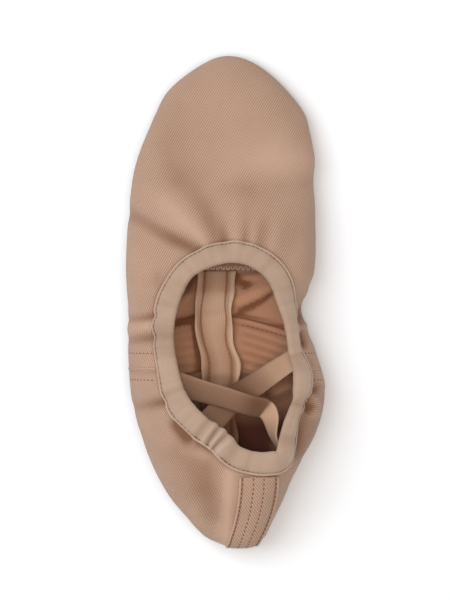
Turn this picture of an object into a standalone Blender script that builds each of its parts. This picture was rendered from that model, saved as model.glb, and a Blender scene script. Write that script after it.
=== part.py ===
"""Split-sole ballet slipper of canvas, standing empty on its two suede sole patches.

The toe points along +Y, the floor is z = 0, and the origin lies under the middle of the plan.
Two height functions, top_height and under_height, give the last. They meet along the slipper's
widest line, and every piece is worked out from them.
"""

import math
from bisect import bisect_right
from collections import namedtuple

import bmesh
import bpy
from mathutils import Vector

# Driving sizes of the slipper, in metres
SHOE_LENGTH = 0.230
BALL_WIDTH = 0.0877
INSTEP_HEIGHT = 0.0370
HEEL_HEIGHT = 0.0425
ARCH_RISE = 0.0042
TOE_SPRING = 0.0030

# Thicknesses and widths of the materials
GAP = 0.0003
CANVAS = 0.0012
SOLE_THICKNESS = 0.0015
SOLE_EDGE_ROUND = 0.0004
INSOLE_THICKNESS = 0.0012
TAPE_THICKNESS = 0.0007
TAPE_GAP = 0.0006
BINDING_WIDTH = 0.0088
BINDING_LEAF = 0.0008
BINDING_LIP = 0.0022
BINDING_GAP = 0.0005
LIP_SHOULDER = 0.75
LIP_FULLNESS = 0.36
ELASTIC_WIDTH = 0.0122
ELASTIC_THICKNESS = 0.0011
STRIP_WIDTH = 0.0180
STRIP_THICKNESS = 0.0008

# The last, a row for each section from heel to toe. Along is a share of the length, left, right and
# ridge are shares of the ball width, crown is a share of the top line and widest of the instep height.
Section = namedtuple("Section", "along left right ridge crown widest")
SECTIONS = (
    Section(0.000, -0.066, 0.194, 0.076, 0.57, 0.42),
    Section(0.048, -0.180, 0.252, 0.108, 0.74, 0.42),
    Section(0.091, -0.280, 0.308, 0.137, 0.87, 0.40),
    Section(0.135, -0.352, 0.356, 0.160, 0.96, 0.38),
    Section(0.183, -0.410, 0.424, 0.170, 1.00, 0.36),
    Section(0.226, -0.448, 0.482, 0.150, 1.00, 0.35),
    Section(0.270, -0.482, 0.520, 0.122, 1.00, 0.34),
    Section(0.313, -0.505, 0.531, 0.097, 1.00, 0.33),
    Section(0.400, -0.519, 0.474, 0.050, 1.00, 0.33),
    Section(0.491, -0.519, 0.414, 0.030, 1.00, 0.33),
    Section(0.557, -0.531, 0.477, 0.034, 1.00, 0.32),
    Section(0.665, -0.519, 0.484, 0.025, 0.90, 0.31),
    Section(0.757, -0.492, 0.478, 0.018, 0.78, 0.29),
    Section(0.848, -0.463, 0.492, 0.015, 0.67, 0.25),
    Section(1.000, -0.455, 0.494, 0.015, 0.58, 0.20),
)
TOP_FULLNESS = 2.2
TOE_ROUND_FROM = 0.739
HEEL_ROUND_TO = 0.026
TOE_ROUNDNESS = 2.0
TOE_FULLNESS = 2.5
HEEL_ROUNDNESS = 2.5
COLLAR_BACK = 0.19
COLLAR_THROAT = 0.58

# The underside: the share of the width that lies flat, and where heel, arch and toe begin along it
FLAT_SHARE = 0.78
HEEL_TURN_TO = 0.061
TOE_TURN_FROM = 0.913
TOE_SPRING_FROM = 0.830
ARCH_FROM = 0.255
ARCH_TO = 0.645

# The binding's inner edge round the collar, turning clockwise from the toe, as reach from its middle
Collar = namedtuple("Collar", "turn reach")
COLLAR = (
    Collar(-150, 0.0307),
    Collar(-131, 0.0291),
    Collar(-100, 0.0277),
    Collar(-73, 0.0307),
    Collar(-41, 0.0383),
    Collar(-25, 0.0427),
    Collar(1, 0.0452),
    Collar(22, 0.0410),
    Collar(44, 0.0315),
    Collar(80, 0.0260),
    Collar(107, 0.0297),
    Collar(124, 0.0334),
    Collar(141, 0.0392),
    Collar(154, 0.0462),
    Collar(167, 0.0458),
    Collar(178, 0.0410),
    Collar(190, 0.0345),
)
COLLAR_MIDDLE = Vector((0.0045, -0.0270))

# Sole patches and insole in plan. The end towards the arch is squarer and has a notch.
Patch = namedtuple("Patch", "x heel_end toe_end width heel_roundness toe_roundness arch_side notch")
FOREFOOT = Patch(-0.0025, 0.0330, 0.0950, 0.0645, 3.1, 2.15, -1, 0.0022)
HEEL = Patch(0.0010, -0.1020, -0.0555, 0.0500, 2.4, 3.2, 1, 0.0020)
INSOLE = Patch(-0.0010, 0.0140, 0.0905, 0.0580, 3.4, 2.0, -1, 0.0)
NOTCH_SHARE = 0.38
OPENING_MARGIN = 0.0120
PATCH_STEPS = 40
PATCH_RINGS = (1.0, 0.84, 0.45)

# Seams: the lengthwise one, the cross seam that sweeps back at the sides, and the strip up the heel
SEAM_X = -0.0030
SEAM_HEEL_END = -0.0880
CENTRE_TAPE_WIDTH = 0.0190
CENTRE_TAPE_HEEL_END = -0.0800
CROSS_SEAM_Y = -0.0210
CROSS_SEAM_SWEEP = 0.0110
CROSS_SEAM_HALF = 0.0450
CROSS_SEAM_CURVE = 1.5
CROSS_TAPE_WIDTH = 0.0230
CROSS_TAPE_TOP = 0.0210
TAPE_STEP_RAMP = 0.0045
TAPE_STEP_END = 0.0061
STRIP_TOP = Vector((0.0155, -0.0832))
STRIP_HEEL_X = 0.0065
STRIP_FOOT_X = 0.0020

# Pleats that draw the toe in to the forefoot patch
PLEAT_DEPTH = 0.0011
PLEAT_FROM_Y = 0.0660

# The two elastics, from left to right. Drop is the depth under the last's top.
Route = namedtuple("Route", "x y drop roll")
ELASTIC_OVER = (
    Route(-0.0300, -0.0375, 0.0036, 0),
    Route(-0.0225, -0.0393, 0.0056, 0),
    Route(-0.0130, -0.0420, 0.0130, 0),
    Route(0.0000, -0.0455, 0.0165, 0),
    Route(0.0120, -0.0490, 0.0170, 6),
    Route(0.0195, -0.0535, 0.0155, 34),
    Route(0.0232, -0.0590, 0.0118, 66),
    Route(0.0245, -0.0640, 0.0098, 80),
)
ELASTIC_UNDER = (
    Route(-0.0140, -0.0635, 0.0036, 0),
    Route(-0.0098, -0.0595, 0.0066, 0),
    Route(-0.0048, -0.0548, 0.0175, 0),
    Route(0.0020, -0.0480, 0.0245, 0),
    Route(0.0120, -0.0412, 0.0240, 0),
    Route(0.0225, -0.0350, 0.0165, 0),
    Route(0.0300, -0.0307, 0.0066, 0),
    Route(0.0340, -0.0284, 0.0038, 0),
)
ELASTIC_STEPS = 18

# How finely the canvas is divided, and how its points gather at the ends and along the widest line
SIDE_STATIONS = 42
FLAT_STEPS = 4
TURN_STEPS = 4
SIDE_STEPS = 7
BAND_STEPS = 2
SIDE_SPREAD = math.radians(75)
END_WEIGHT = 1.9
TOE_ZONE_Y = 0.055
HEEL_ZONE_Y = -0.092
OUTLINE_SAMPLES = 600
OPENING_SAMPLES = 720
HALVINGS = 40
TINY = 1e-6
SHARP_EDGE = math.radians(50)

# Colours of the materials, linear RGB, with roughness
MATERIALS = {
    "canvas": ((0.50, 0.33, 0.23), 0.90),
    "binding": ((0.47, 0.33, 0.25), 0.85),
    "suede": ((0.53, 0.43, 0.30), 0.95),
    "sock": ((0.36, 0.22, 0.15), 0.95),
    "tape": ((0.39, 0.25, 0.16), 0.90),
    "elastic": ((0.30, 0.18, 0.12), 0.80),
}


def clamp(value, low=0.0, high=1.0):
    return min(high, max(low, value))


def ease(value):
    """Smooth step from 0 to 1."""
    value = clamp(value)
    return value * value * (3 - 2 * value)


def smooth(keys, values, at):
    """The value at a key, on a smooth curve through the pairs."""
    last = len(keys) - 1
    i = int(clamp(bisect_right(keys, at) - 1, 0, last - 1))

    def slope(j):
        before, after = max(0, j - 1), min(last, j + 1)
        return (values[after] - values[before]) / (keys[after] - keys[before])

    span = keys[i + 1] - keys[i]
    t = clamp((at - keys[i]) / span)
    return (
        (2 * t**3 - 3 * t**2 + 1) * values[i]
        + (t**3 - 2 * t**2 + t) * span * slope(i)
        + (3 * t**2 - 2 * t**3) * values[i + 1]
        + (t**3 - t**2) * span * slope(i + 1)
    )


def rounding(share, power):
    """Quarter of a superellipse: 1 at share 0, falling to 0 at share 1."""
    return (1 - clamp(share) ** power) ** (1 / power)


def station(y):
    return clamp(y / SHOE_LENGTH + 0.5)


def section(column, y):
    keys = [row.along for row in SECTIONS]
    return smooth(keys, [getattr(row, column) for row in SECTIONS], station(y))


def end_rounding(y, toe_power):
    """Share of the full size that is left towards the tips of toe and heel."""
    along = station(y)
    toe = rounding((along - TOE_ROUND_FROM) / (1 - TOE_ROUND_FROM), toe_power)
    heel = rounding((HEEL_ROUND_TO - along) / HEEL_ROUND_TO, HEEL_ROUNDNESS)
    return toe * heel


def ridge_x(y):
    return section("ridge", y) * BALL_WIDTH


def edge_x(y, side):
    """The outline's left or right edge."""
    ridge = ridge_x(y)
    return ridge + (section(side, y) * BALL_WIDTH - ridge) * end_rounding(y, TOE_ROUNDNESS)


def widest_height(y):
    return section("widest", y) * INSTEP_HEIGHT


def crown_height(y):
    rise = ease((station(y) - COLLAR_BACK) / (COLLAR_THROAT - COLLAR_BACK))
    top_line = HEEL_HEIGHT + (INSTEP_HEIGHT - HEEL_HEIGHT) * rise
    widest = widest_height(y)
    return widest + (section("crown", y) * top_line - widest) * end_rounding(y, TOE_FULLNESS)


def top_height(x, y):
    """Height of the last's upper half, which carries on over the collar."""
    ridge = ridge_x(y)
    reach = abs(edge_x(y, "left" if x < ridge else "right") - ridge)
    widest = widest_height(y)
    share = abs(x - ridge) / max(reach, TINY)
    return widest + (crown_height(y) - widest) * rounding(share, TOP_FULLNESS)


def floor_line(y):
    """Height of the canvas along the middle of the underside."""
    along = station(y)
    arch = clamp((along - ARCH_FROM) / (ARCH_TO - ARCH_FROM))
    spring = clamp((along - TOE_SPRING_FROM) / (1 - TOE_SPRING_FROM))
    level = SOLE_THICKNESS + GAP + ARCH_RISE * math.sin(math.pi * arch) ** 2 + TOE_SPRING * spring**2
    heel = 1 - rounding((HEEL_TURN_TO - along) / HEEL_TURN_TO, 2)
    toe = 1 - rounding((along - TOE_TURN_FROM) / (1 - TOE_TURN_FROM), 2)
    return level + (widest_height(y) - level) * max(heel, toe)


def under_height(x, y):
    """Height of the last's lower half."""
    left, right = edge_x(y, "left"), edge_x(y, "right")
    share = abs(x - (left + right) / 2) / max((right - left) / 2, TINY)
    turn = (share - FLAT_SHARE) / (1 - FLAT_SHARE)
    base = floor_line(y)
    return base + (widest_height(y) - base) * (1 - rounding(turn, 2))


def below_top(x, y, depth):
    """Height of a point this far inside the last's top, measured square to it."""
    step = 0.0005
    slope_x = (top_height(x + step, y) - top_height(x - step, y)) / (2 * step)
    slope_y = (top_height(x, y + step) - top_height(x, y - step)) / (2 * step)
    return top_height(x, y) - depth * math.sqrt(1 + slope_x**2 + slope_y**2)


def on_top(plan):
    return Vector((plan.x, plan.y, top_height(plan.x, plan.y)))


def on_under(plan):
    return Vector((plan.x, plan.y, under_height(plan.x, plan.y)))


def stations():
    """Stations from toe tip to heel tip, closer together round both ends."""
    dense = [SHOE_LENGTH / 2 * math.cos(math.pi * i / OUTLINE_SAMPLES) for i in range(OUTLINE_SAMPLES + 1)]
    halves = [(edge_x(y, "right") - edge_x(y, "left")) / 2 for y in dense]
    lengths = [0.0]
    for i in range(1, len(dense)):
        weight = END_WEIGHT if dense[i] > TOE_ZONE_Y or dense[i] < HEEL_ZONE_Y else 1.0
        stretch = math.hypot(dense[i] - dense[i - 1], halves[i] - halves[i - 1])
        lengths.append(lengths[-1] + weight * stretch)
    found = []
    for k in range(SIDE_STATIONS + 1):
        target = lengths[-1] * k / SIDE_STATIONS
        i = min(bisect_right(lengths, target), OUTLINE_SAMPLES)
        share = (target - lengths[i - 1]) / (lengths[i] - lengths[i - 1])
        found.append(dense[i - 1] + (dense[i] - dense[i - 1]) * share)
    return found


def collar_point(turn):
    """The canvas edge, just outside the binding's inner edge. The table goes on round the loop."""
    keys = [row.turn for row in COLLAR]
    reaches = [row.reach for row in COLLAR]
    keys = [keys[-1] - 360] + keys + [keys[0] + 360, keys[1] + 360]
    reaches = [reaches[-1]] + reaches + reaches[:2]
    if turn < COLLAR[0].turn:
        turn += 360
    reach = smooth(keys, reaches, turn) + BINDING_LIP
    angle = math.radians(turn)
    return COLLAR_MIDDLE + reach * Vector((math.sin(angle), math.cos(angle)))


def step_out(plan, outward, distance):
    """A plan point further out, so that the way to it over the last has this length."""
    parts = 12
    step = distance / parts
    for _ in range(parts):
        ahead = plan + outward * step
        fall = top_height(*plan) - top_height(*ahead)
        plan = plan + outward * step / math.hypot(1, fall / step)
    return plan


def patch_edge(patch, count, inset=0.0):
    """Plan outline of a patch, clockwise from its toe end."""
    middle = (patch.heel_end + patch.toe_end) / 2
    half_width = patch.width / 2 - inset
    half_length = (patch.toe_end - patch.heel_end) / 2 - inset
    points = []
    for i in range(count):
        angle = 2 * math.pi * i / count
        ahead, aside = math.cos(angle), math.sin(angle)
        power = 2 / (patch.toe_roundness if ahead > 0 else patch.heel_roundness)
        x = half_width * math.copysign(abs(aside) ** power, aside)
        y = half_length * math.copysign(abs(ahead) ** power, ahead)
        if ahead * patch.arch_side > 0:
            y -= patch.arch_side * patch.notch * math.exp(-((x / (NOTCH_SHARE * half_width)) ** 2))
        points.append(Vector((patch.x + x, middle + y)))
    return points


def mesh_object(name, points, faces, material):
    """One object of its own, with its faces turned outwards and shaded smooth."""
    mesh = bpy.data.meshes.new(name)
    mesh.from_pydata(points, [], faces)
    shape = bmesh.new()
    shape.from_mesh(mesh)
    loose = [vert for vert in shape.verts if not vert.link_faces]
    bmesh.ops.delete(shape, geom=loose, context="VERTS")
    bmesh.ops.recalc_face_normals(shape, faces=shape.faces)
    shape.to_mesh(mesh)
    shape.free()
    mesh.materials.append(material)
    mesh.shade_smooth()
    mesh.set_sharp_from_angle(angle=SHARP_EDGE)
    piece = bpy.data.objects.new(name, mesh)
    bpy.context.scene.collection.objects.link(piece)
    return piece


def grid_normals(grid, looped=False):
    """Normals of a grid of points, each the mean over the faces that meet there."""
    count, size = len(grid), len(grid[0])

    def away(i, j, from_point):
        if not (looped or 0 <= i < count) or not 0 <= j < size:
            return None
        return grid[i % count][j] - from_point

    normals = []
    for i, row in enumerate(grid):
        line = []
        for j, point in enumerate(row):
            spots = ((i, j + 1), (i + 1, j), (i, j - 1), (i - 1, j))
            ways = [away(*spot, point) for spot in spots]
            total = Vector()
            for first, second in zip(ways, ways[1:] + ways[:1]):
                if first and second:
                    total += first.cross(second).normalized()
            line.append(total.normalized())
        normals.append(line)
    return normals


def shifted(grid, normals, distance):
    return [[point + normal * distance for point, normal in zip(*rows)] for rows in zip(grid, normals)]


def ring_solid(name, profiles, turned_from, material):
    """A closed ring through closed profiles. From turned_from on, its quads split the other way."""
    size, count = len(profiles[0]), len(profiles)
    points = [point for profile in profiles for point in profile]
    faces = []
    for i in range(count):
        here, there = i * size, (i + 1) % count * size
        for j in range(size):
            after = (j + 1) % size
            corners = (here + j, here + after, there + after, there + j)
            faces.append(corners if j < turned_from else corners[1:] + corners[:1])
    return mesh_object(name, points, faces, material)


def sheet_solid(name, lower, upper, material):
    """A closed sheet between two grids of points of equal size."""
    rows, columns = len(lower), len(lower[0])
    points = [point for grid in (lower, upper) for row in grid for point in row]
    above = rows * columns
    faces = []
    for i in range(rows - 1):
        for j in range(columns - 1):
            corner = i * columns + j
            corners = (corner, corner + columns, corner + columns + 1, corner + 1)
            faces.append(corners)
            faces.append(tuple(above + number for number in corners))
    rim = [i * columns for i in range(rows)]
    rim += [(rows - 1) * columns + j for j in range(1, columns)]
    rim += [i * columns + columns - 1 for i in reversed(range(rows - 1))]
    rim += list(reversed(range(1, columns - 1)))
    for here, there in zip(rim, rim[1:] + rim[:1]):
        faces.append((here, there, above + there, above + here))
    return mesh_object(name, points, faces, material)


def patch_solid(name, patch, lower, upper, edge_round, material):
    """A closed pad with a patch's outline, between two heights, its lower edge rounded off."""
    edge = patch_edge(patch, PATCH_STEPS)
    lower_edge = patch_edge(patch, PATCH_STEPS, edge_round)
    middle = Vector((patch.x, (patch.heel_end + patch.toe_end) / 2))
    points, loops = [], []

    def add_loop(plan, share, height, lift=0.0):
        loops.append(range(len(points), len(points) + PATCH_STEPS))
        for p in plan:
            spot = middle.lerp(p, share)
            points.append(Vector((*spot, height(*spot) + lift)))

    for share in reversed(PATCH_RINGS):
        add_loop(lower_edge, share, lower)
    add_loop(edge, 1.0, lower, edge_round)
    for share in PATCH_RINGS:
        add_loop(edge, share, upper)
    points += [Vector((*middle, lower(*middle))), Vector((*middle, upper(*middle)))]
    faces = []
    for i in range(PATCH_STEPS):
        after = (i + 1) % PATCH_STEPS
        for first, second in zip(loops, loops[1:]):
            faces.append((first[i], first[after], second[after], second[i]))
        faces.append((loops[0][after], loops[0][i], len(points) - 2))
        faces.append((loops[-1][i], loops[-1][after], len(points) - 1))
    return mesh_object(name, points, faces, material)


def outline_points():
    """The widest line, clockwise from the toe tip, as plan points with their station numbers."""
    rows = list(enumerate(stations()))
    right = [(Vector((edge_x(y, "right"), y)), k) for k, y in rows]
    left = [(Vector((edge_x(y, "left"), y)), k) for k, y in rows]
    return right + left[-2:0:-1]


def collar_bands(outline):
    """For each point of the outline, plan points from the canvas edge out to the binding's stitches."""
    edges = []
    for plan, _ in outline:
        away = plan - COLLAR_MIDDLE
        edges.append(collar_point(math.degrees(math.atan2(away.x, away.y))))
    bands = []
    for i, edge in enumerate(edges):
        along = edges[(i + 1) % len(edges)] - edges[i - 1]
        outward = Vector((-along.y, along.x)).normalized()
        band = [edge]
        for _ in range(BAND_STEPS):
            band.append(step_out(band[-1], outward, BINDING_WIDTH / BAND_STEPS))
        bands.append(band)
    return bands


def floor_edge(y, side):
    """Plan point where the canvas begins to turn up towards this point of the widest line."""
    middle = (edge_x(y, "left") + edge_x(y, "right")) / 2
    along = HEEL_TURN_TO + (TOE_TURN_FROM - HEEL_TURN_TO) * station(y)
    return Vector((middle + (edge_x(y, side) - middle) * FLAT_SHARE, (along - 0.5) * SHOE_LENGTH))


def canvas_ends():
    """Where the canvas ends underneath, at each station: round the forefoot opening, then along the seam."""
    rows = stations()
    opening = patch_edge(FOREFOOT, OPENING_SAMPLES, OPENING_MARGIN)
    middle = Vector((FOREFOOT.x, (FOREFOOT.heel_end + FOREFOOT.toe_end) / 2))
    rear = opening[OPENING_SAMPLES // 2].y
    closing = next(k for k, y in enumerate(rows) if floor_edge(y, "left").y < rear)
    ends = {}
    for side in ("right", "left"):
        line = []
        for k, y in enumerate(rows):
            if k < closing:
                toward = (floor_edge(y, side) - middle).normalized()
                line.append(max(opening, key=lambda spot: (spot - middle).normalized().dot(toward)))
            else:
                share = (rows[closing] - y) / (rows[closing] - rows[-1])
                line.append(Vector((SEAM_X, rear + (SEAM_HEEL_END - rear) * share)))
        ends[side] = line
    return ends, closing


def canvas_grid():
    """Outer face of the upper: for each point of the outline, a line from underneath up to the collar."""
    outline = outline_points()
    ends, closing = canvas_ends()
    grid = []
    for i, band in enumerate(collar_bands(outline)):
        edge, k = outline[i]
        side = "right" if i <= SIDE_STATIONS else "left"
        inner = ends[side][k]
        foot = floor_edge(edge.y, side)
        line = [on_under(inner.lerp(foot, j / FLAT_STEPS)) for j in range(FLAT_STEPS)]
        for j in range(TURN_STEPS):
            point = on_under(foot.lerp(edge, math.sin(math.pi / 2 * j / TURN_STEPS)))
            if edge.y > PLEAT_FROM_Y and k % 2:
                point.z += PLEAT_DEPTH * math.sin(math.pi * j / TURN_STEPS)
            line.append(point)
        for j in range(SIDE_STEPS):
            share = (1 - math.cos(SIDE_SPREAD * j / SIDE_STEPS)) / (1 - math.cos(SIDE_SPREAD))
            line.append(on_top(edge.lerp(band[-1], share)))
        line += [on_top(plan) for plan in reversed(band)]
        grid.append(line)
    return grid, closing


def make_upper(grid, normals, closing, material):
    """Canvas upper: one hollow wall, open at the collar and under the forefoot, sewn shut behind that."""
    inside = shifted(grid, normals, -CANVAS)
    count, size = len(grid), len(grid[0])
    points = [point for layer in (grid, inside) for line in layer for point in line]

    def number(layer, i, j):
        i %= count
        if j == 0 and i > SIDE_STATIONS and count - i >= closing:
            i = count - i
        return (layer * count + i) * size + j

    faces = []
    for i in range(count):
        for j in range(size - 1):
            corners = ((i, j), (i, j + 1), (i + 1, j + 1), (i + 1, j))
            faces.append([number(0, *corner) for corner in corners])
            faces.append([number(1, *corner) for corner in corners])
        rims = [size - 1]
        if min(i, count - i - 1) < closing:
            rims.append(0)
        for j in rims:
            faces.append([number(0, i, j), number(0, i + 1, j), number(1, i + 1, j), number(1, i, j)])
    return mesh_object("upper", points, faces, material)


def make_binding(grid, normals, material):
    """Soft tape folded over the canvas edge, with a full lip."""
    outside = BINDING_GAP + BINDING_LEAF
    inside = CANVAS + BINDING_GAP + BINDING_LEAF
    profiles = []
    for line, square in zip(grid, normals):
        band = list(zip(line, square))[: -BAND_STEPS - 2 : -1]
        edge, edge_normal = band[0]
        stitch, stitch_normal = band[-1]
        beyond = (edge - band[1][0]).normalized()
        lip = edge - edge_normal * CANVAS / 2
        fullness = edge_normal * (inside + outside) * LIP_FULLNESS
        profile = [point + normal * outside for point, normal in reversed(band)]
        profile.append(lip + beyond * BINDING_LIP * LIP_SHOULDER + fullness)
        profile.append(lip + beyond * BINDING_LIP)
        profile.append(lip + beyond * BINDING_LIP * LIP_SHOULDER - fullness)
        profile.append(edge - edge_normal * inside)
        profile.append(stitch - stitch_normal * inside)
        profile += [point - normal * (CANVAS + BINDING_GAP) for point, normal in reversed(band[1:])]
        profile.append(edge + beyond * BINDING_GAP - edge_normal * (CANVAS + BINDING_GAP))
        turned_from = len(profile)
        profile.append(edge + beyond * BINDING_GAP + edge_normal * BINDING_GAP)
        profile += [point + normal * BINDING_GAP for point, normal in band[1:]]
        profiles.append(profile)
    return ring_solid("collar_binding", profiles, turned_from, material)


def make_soles(material):
    """Suede patches under forefoot and heel, which follow the canvas."""

    def upper(x, y):
        return under_height(x, y) - GAP

    def lower(x, y):
        return under_height(x, y) - GAP - SOLE_THICKNESS

    patch_solid("sole_forefoot", FOREFOOT, lower, upper, SOLE_EDGE_ROUND, material)
    patch_solid("sole_heel", HEEL, lower, upper, SOLE_EDGE_ROUND, material)


def make_insole(material):
    """Thin sock that closes the forefoot opening from inside."""

    def lower(x, y):
        return under_height(x, y) + CANVAS + GAP

    def upper(x, y):
        return lower(x, y) + INSOLE_THICKNESS

    patch_solid("insole_forefoot", INSOLE, lower, upper, GAP, material)


def cross_seam_y(x):
    return CROSS_SEAM_Y - CROSS_SEAM_SWEEP * clamp(abs(x - SEAM_X) / CROSS_SEAM_HALF) ** CROSS_SEAM_CURVE


def make_centre_tape(material):
    """Seam strip along the inside, which steps over the cross seam's strip."""
    rows = 24
    offsets = (-0.5, -0.26, 0.0, 0.26, 0.5)
    front = INSOLE.heel_end - GAP
    lower, upper = [], []
    for i in range(rows):
        y = front + (CENTRE_TAPE_HEEL_END - front) * i / (rows - 1)
        below, above = [], []
        for offset in offsets:
            x = SEAM_X + offset * CENTRE_TAPE_WIDTH
            clear = abs(y - cross_seam_y(x)) - CROSS_TAPE_WIDTH / 2
            step = (TAPE_THICKNESS + GAP) * ease((TAPE_STEP_END - clear) / TAPE_STEP_RAMP)
            z = under_height(x, y) + CANVAS + TAPE_GAP + step
            below.append(Vector((x, y, z)))
            above.append(Vector((x, y, z + TAPE_THICKNESS)))
        lower.append(below)
        upper.append(above)
    return sheet_solid("seam_tape_centre", lower, upper, material)


def cross_section_line(offset):
    """Points on the last along the cross seam, from the left flank round underneath to the right one."""
    side_y = cross_seam_y(CROSS_SEAM_HALF) + offset
    climb_steps = 4
    turn_steps = 5
    flat_steps = 8
    left, right = edge_x(side_y, "left"), edge_x(side_y, "right")
    sides = []
    widest, crown, ridge = widest_height(side_y), crown_height(side_y), ridge_x(side_y)
    for edge in (left, right):
        side = []
        for j in range(climb_steps, 0, -1):
            rise = (CROSS_TAPE_TOP - widest) * j / climb_steps
            reach = rounding(rise / (crown - widest), TOP_FULLNESS)
            side.append(Vector((ridge + (edge - ridge) * reach, side_y, widest + rise)))
        sides.append(side)
    middle, half = (left + right) / 2, (right - left) / 2
    sweep = [math.pi / 2 * (1 - j / turn_steps) for j in range(turn_steps)]
    turns = [1 + (FLAT_SHARE - 1) * (1 - math.sin(angle)) for angle in sweep]
    flats = [FLAT_SHARE * (1 - 2 * j / flat_steps) for j in range(flat_steps + 1)]
    shares = [-share for share in turns] + [-share for share in flats] + turns[::-1]
    line = sides[0]
    for share in shares:
        x = middle + half * share
        y = cross_seam_y(x) + offset
        half_here = (edge_x(y, "right") - edge_x(y, "left")) / 2
        middle_here = (edge_x(y, "right") + edge_x(y, "left")) / 2
        line.append(on_under(Vector((middle_here + half_here * share, y))))
    return line + sides[1][::-1]


def make_cross_tape(material):
    """Seam strip across the inside, up both flanks towards the binding."""
    offsets = (-0.5, -0.17, 0.17, 0.5)
    grid = [cross_section_line(offset * CROSS_TAPE_WIDTH) for offset in offsets]
    normals = grid_normals(grid)
    lower = shifted(grid, normals, CANVAS + TAPE_GAP)
    upper = shifted(grid, normals, CANVAS + TAPE_GAP + TAPE_THICKNESS)
    return sheet_solid("seam_tape_cross", lower, upper, material)


def heel_edge_y(x):
    """Where the outline's heel end lies at this distance across."""
    low, high = -SHOE_LENGTH / 2, 0.0
    side = "left" if x < ridge_x(low) else "right"
    for _ in range(HALVINGS):
        y = (low + high) / 2
        if abs(edge_x(y, side) - ridge_x(low)) < abs(x - ridge_x(low)):
            low = y
        else:
            high = y
    return high


def make_back_strip(material):
    """Strip over the heel seam, from the collar down and under to the heel patch."""
    offsets = (-0.5, -0.34, -0.17, 0.0, 0.17, 0.34, 0.5)
    top_steps = 9
    under_steps = 6
    grid = []
    for offset in offsets:
        aside = offset * STRIP_WIDTH
        heel_y = heel_edge_y(STRIP_HEEL_X + aside)
        line = []
        for j in range(top_steps):
            share = math.sin(math.pi / 2 * j / top_steps)
            x = STRIP_TOP.x + (STRIP_HEEL_X - STRIP_TOP.x) * share + aside
            line.append(on_top(Vector((x, STRIP_TOP.y + (heel_y - STRIP_TOP.y) * share))))
        foot_x = STRIP_FOOT_X + aside
        patch_half = (HEEL.toe_end - HEEL.heel_end) / 2
        patch_reach = patch_half * rounding(abs(foot_x - HEEL.x) / (HEEL.width / 2), HEEL.heel_roundness)
        foot_y = HEEL.heel_end + patch_half - patch_reach - 2 * GAP
        for j in range(under_steps + 1):
            share = 1 - math.cos(math.pi / 2 * j / under_steps)
            x = STRIP_HEEL_X + (STRIP_FOOT_X - STRIP_HEEL_X) * share + aside
            line.append(on_under(Vector((x, heel_y + (foot_y - heel_y) * share))))
        grid.append(line)
    normals = grid_normals(grid)
    lower = shifted(grid, normals, TAPE_GAP)
    upper = shifted(grid, normals, TAPE_GAP + STRIP_THICKNESS)
    return sheet_solid("back_strip", lower, upper, material)


def make_elastic(name, route, material):
    """A flat elastic along its route, slack between its two ends under the binding."""
    marks = list(range(len(route)))
    columns = {column: [getattr(row, column) for row in route] for column in Route._fields}
    samples = []
    for i in range(ELASTIC_STEPS + 1):
        mark = (len(route) - 1) * i / ELASTIC_STEPS
        samples.append(Route(*(smooth(marks, columns[column], mark) for column in Route._fields)))
    grid = []
    for i, here in enumerate(samples):
        ahead, behind = samples[min(i + 1, ELASTIC_STEPS)], samples[max(i - 1, 0)]
        aside = Vector((behind.y - ahead.y, ahead.x - behind.x)).normalized()
        roll = math.radians(here.roll)
        line = []
        for share in (-0.5, 0.0, 0.5):
            plan = Vector((here.x, here.y)) + aside * share * ELASTIC_WIDTH * math.cos(roll)
            lift = share * ELASTIC_WIDTH * math.sin(roll)
            line.append(Vector((*plan, below_top(*plan, here.drop) + lift)))
        grid.append(line)
    normals = grid_normals(grid)
    lower = shifted(grid, normals, -ELASTIC_THICKNESS / 2)
    upper = shifted(grid, normals, ELASTIC_THICKNESS / 2)
    return sheet_solid(name, lower, upper, material)


def make_material(name):
    colour, roughness = MATERIALS[name]
    material = bpy.data.materials.new(name)
    material.use_nodes = True
    shader = material.node_tree.nodes["Principled BSDF"]
    shader.inputs["Base Color"].default_value = (*colour, 1.0)
    shader.inputs["Roughness"].default_value = roughness
    shader.inputs["Metallic"].default_value = 0.0
    return material


def main():
    for piece in list(bpy.data.objects):
        bpy.data.objects.remove(piece)
    materials = {name: make_material(name) for name in MATERIALS}
    grid, closing = canvas_grid()
    normals = grid_normals(grid, looped=True)
    make_upper(grid, normals, closing, materials["canvas"])
    make_binding(grid, normals, materials["binding"])
    make_soles(materials["suede"])
    make_insole(materials["sock"])
    make_cross_tape(materials["tape"])
    make_centre_tape(materials["tape"])
    make_back_strip(materials["canvas"])
    make_elastic("elastic_over", ELASTIC_OVER, materials["elastic"])
    make_elastic("elastic_under", ELASTIC_UNDER, materials["elastic"])


main()
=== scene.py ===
"""Looks of the split-sole ballet slipper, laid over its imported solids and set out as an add-on."""

import math
from collections import namedtuple

import bpy
import numpy as np
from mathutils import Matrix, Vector
from mathutils.bvhtree import BVHTree


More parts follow.
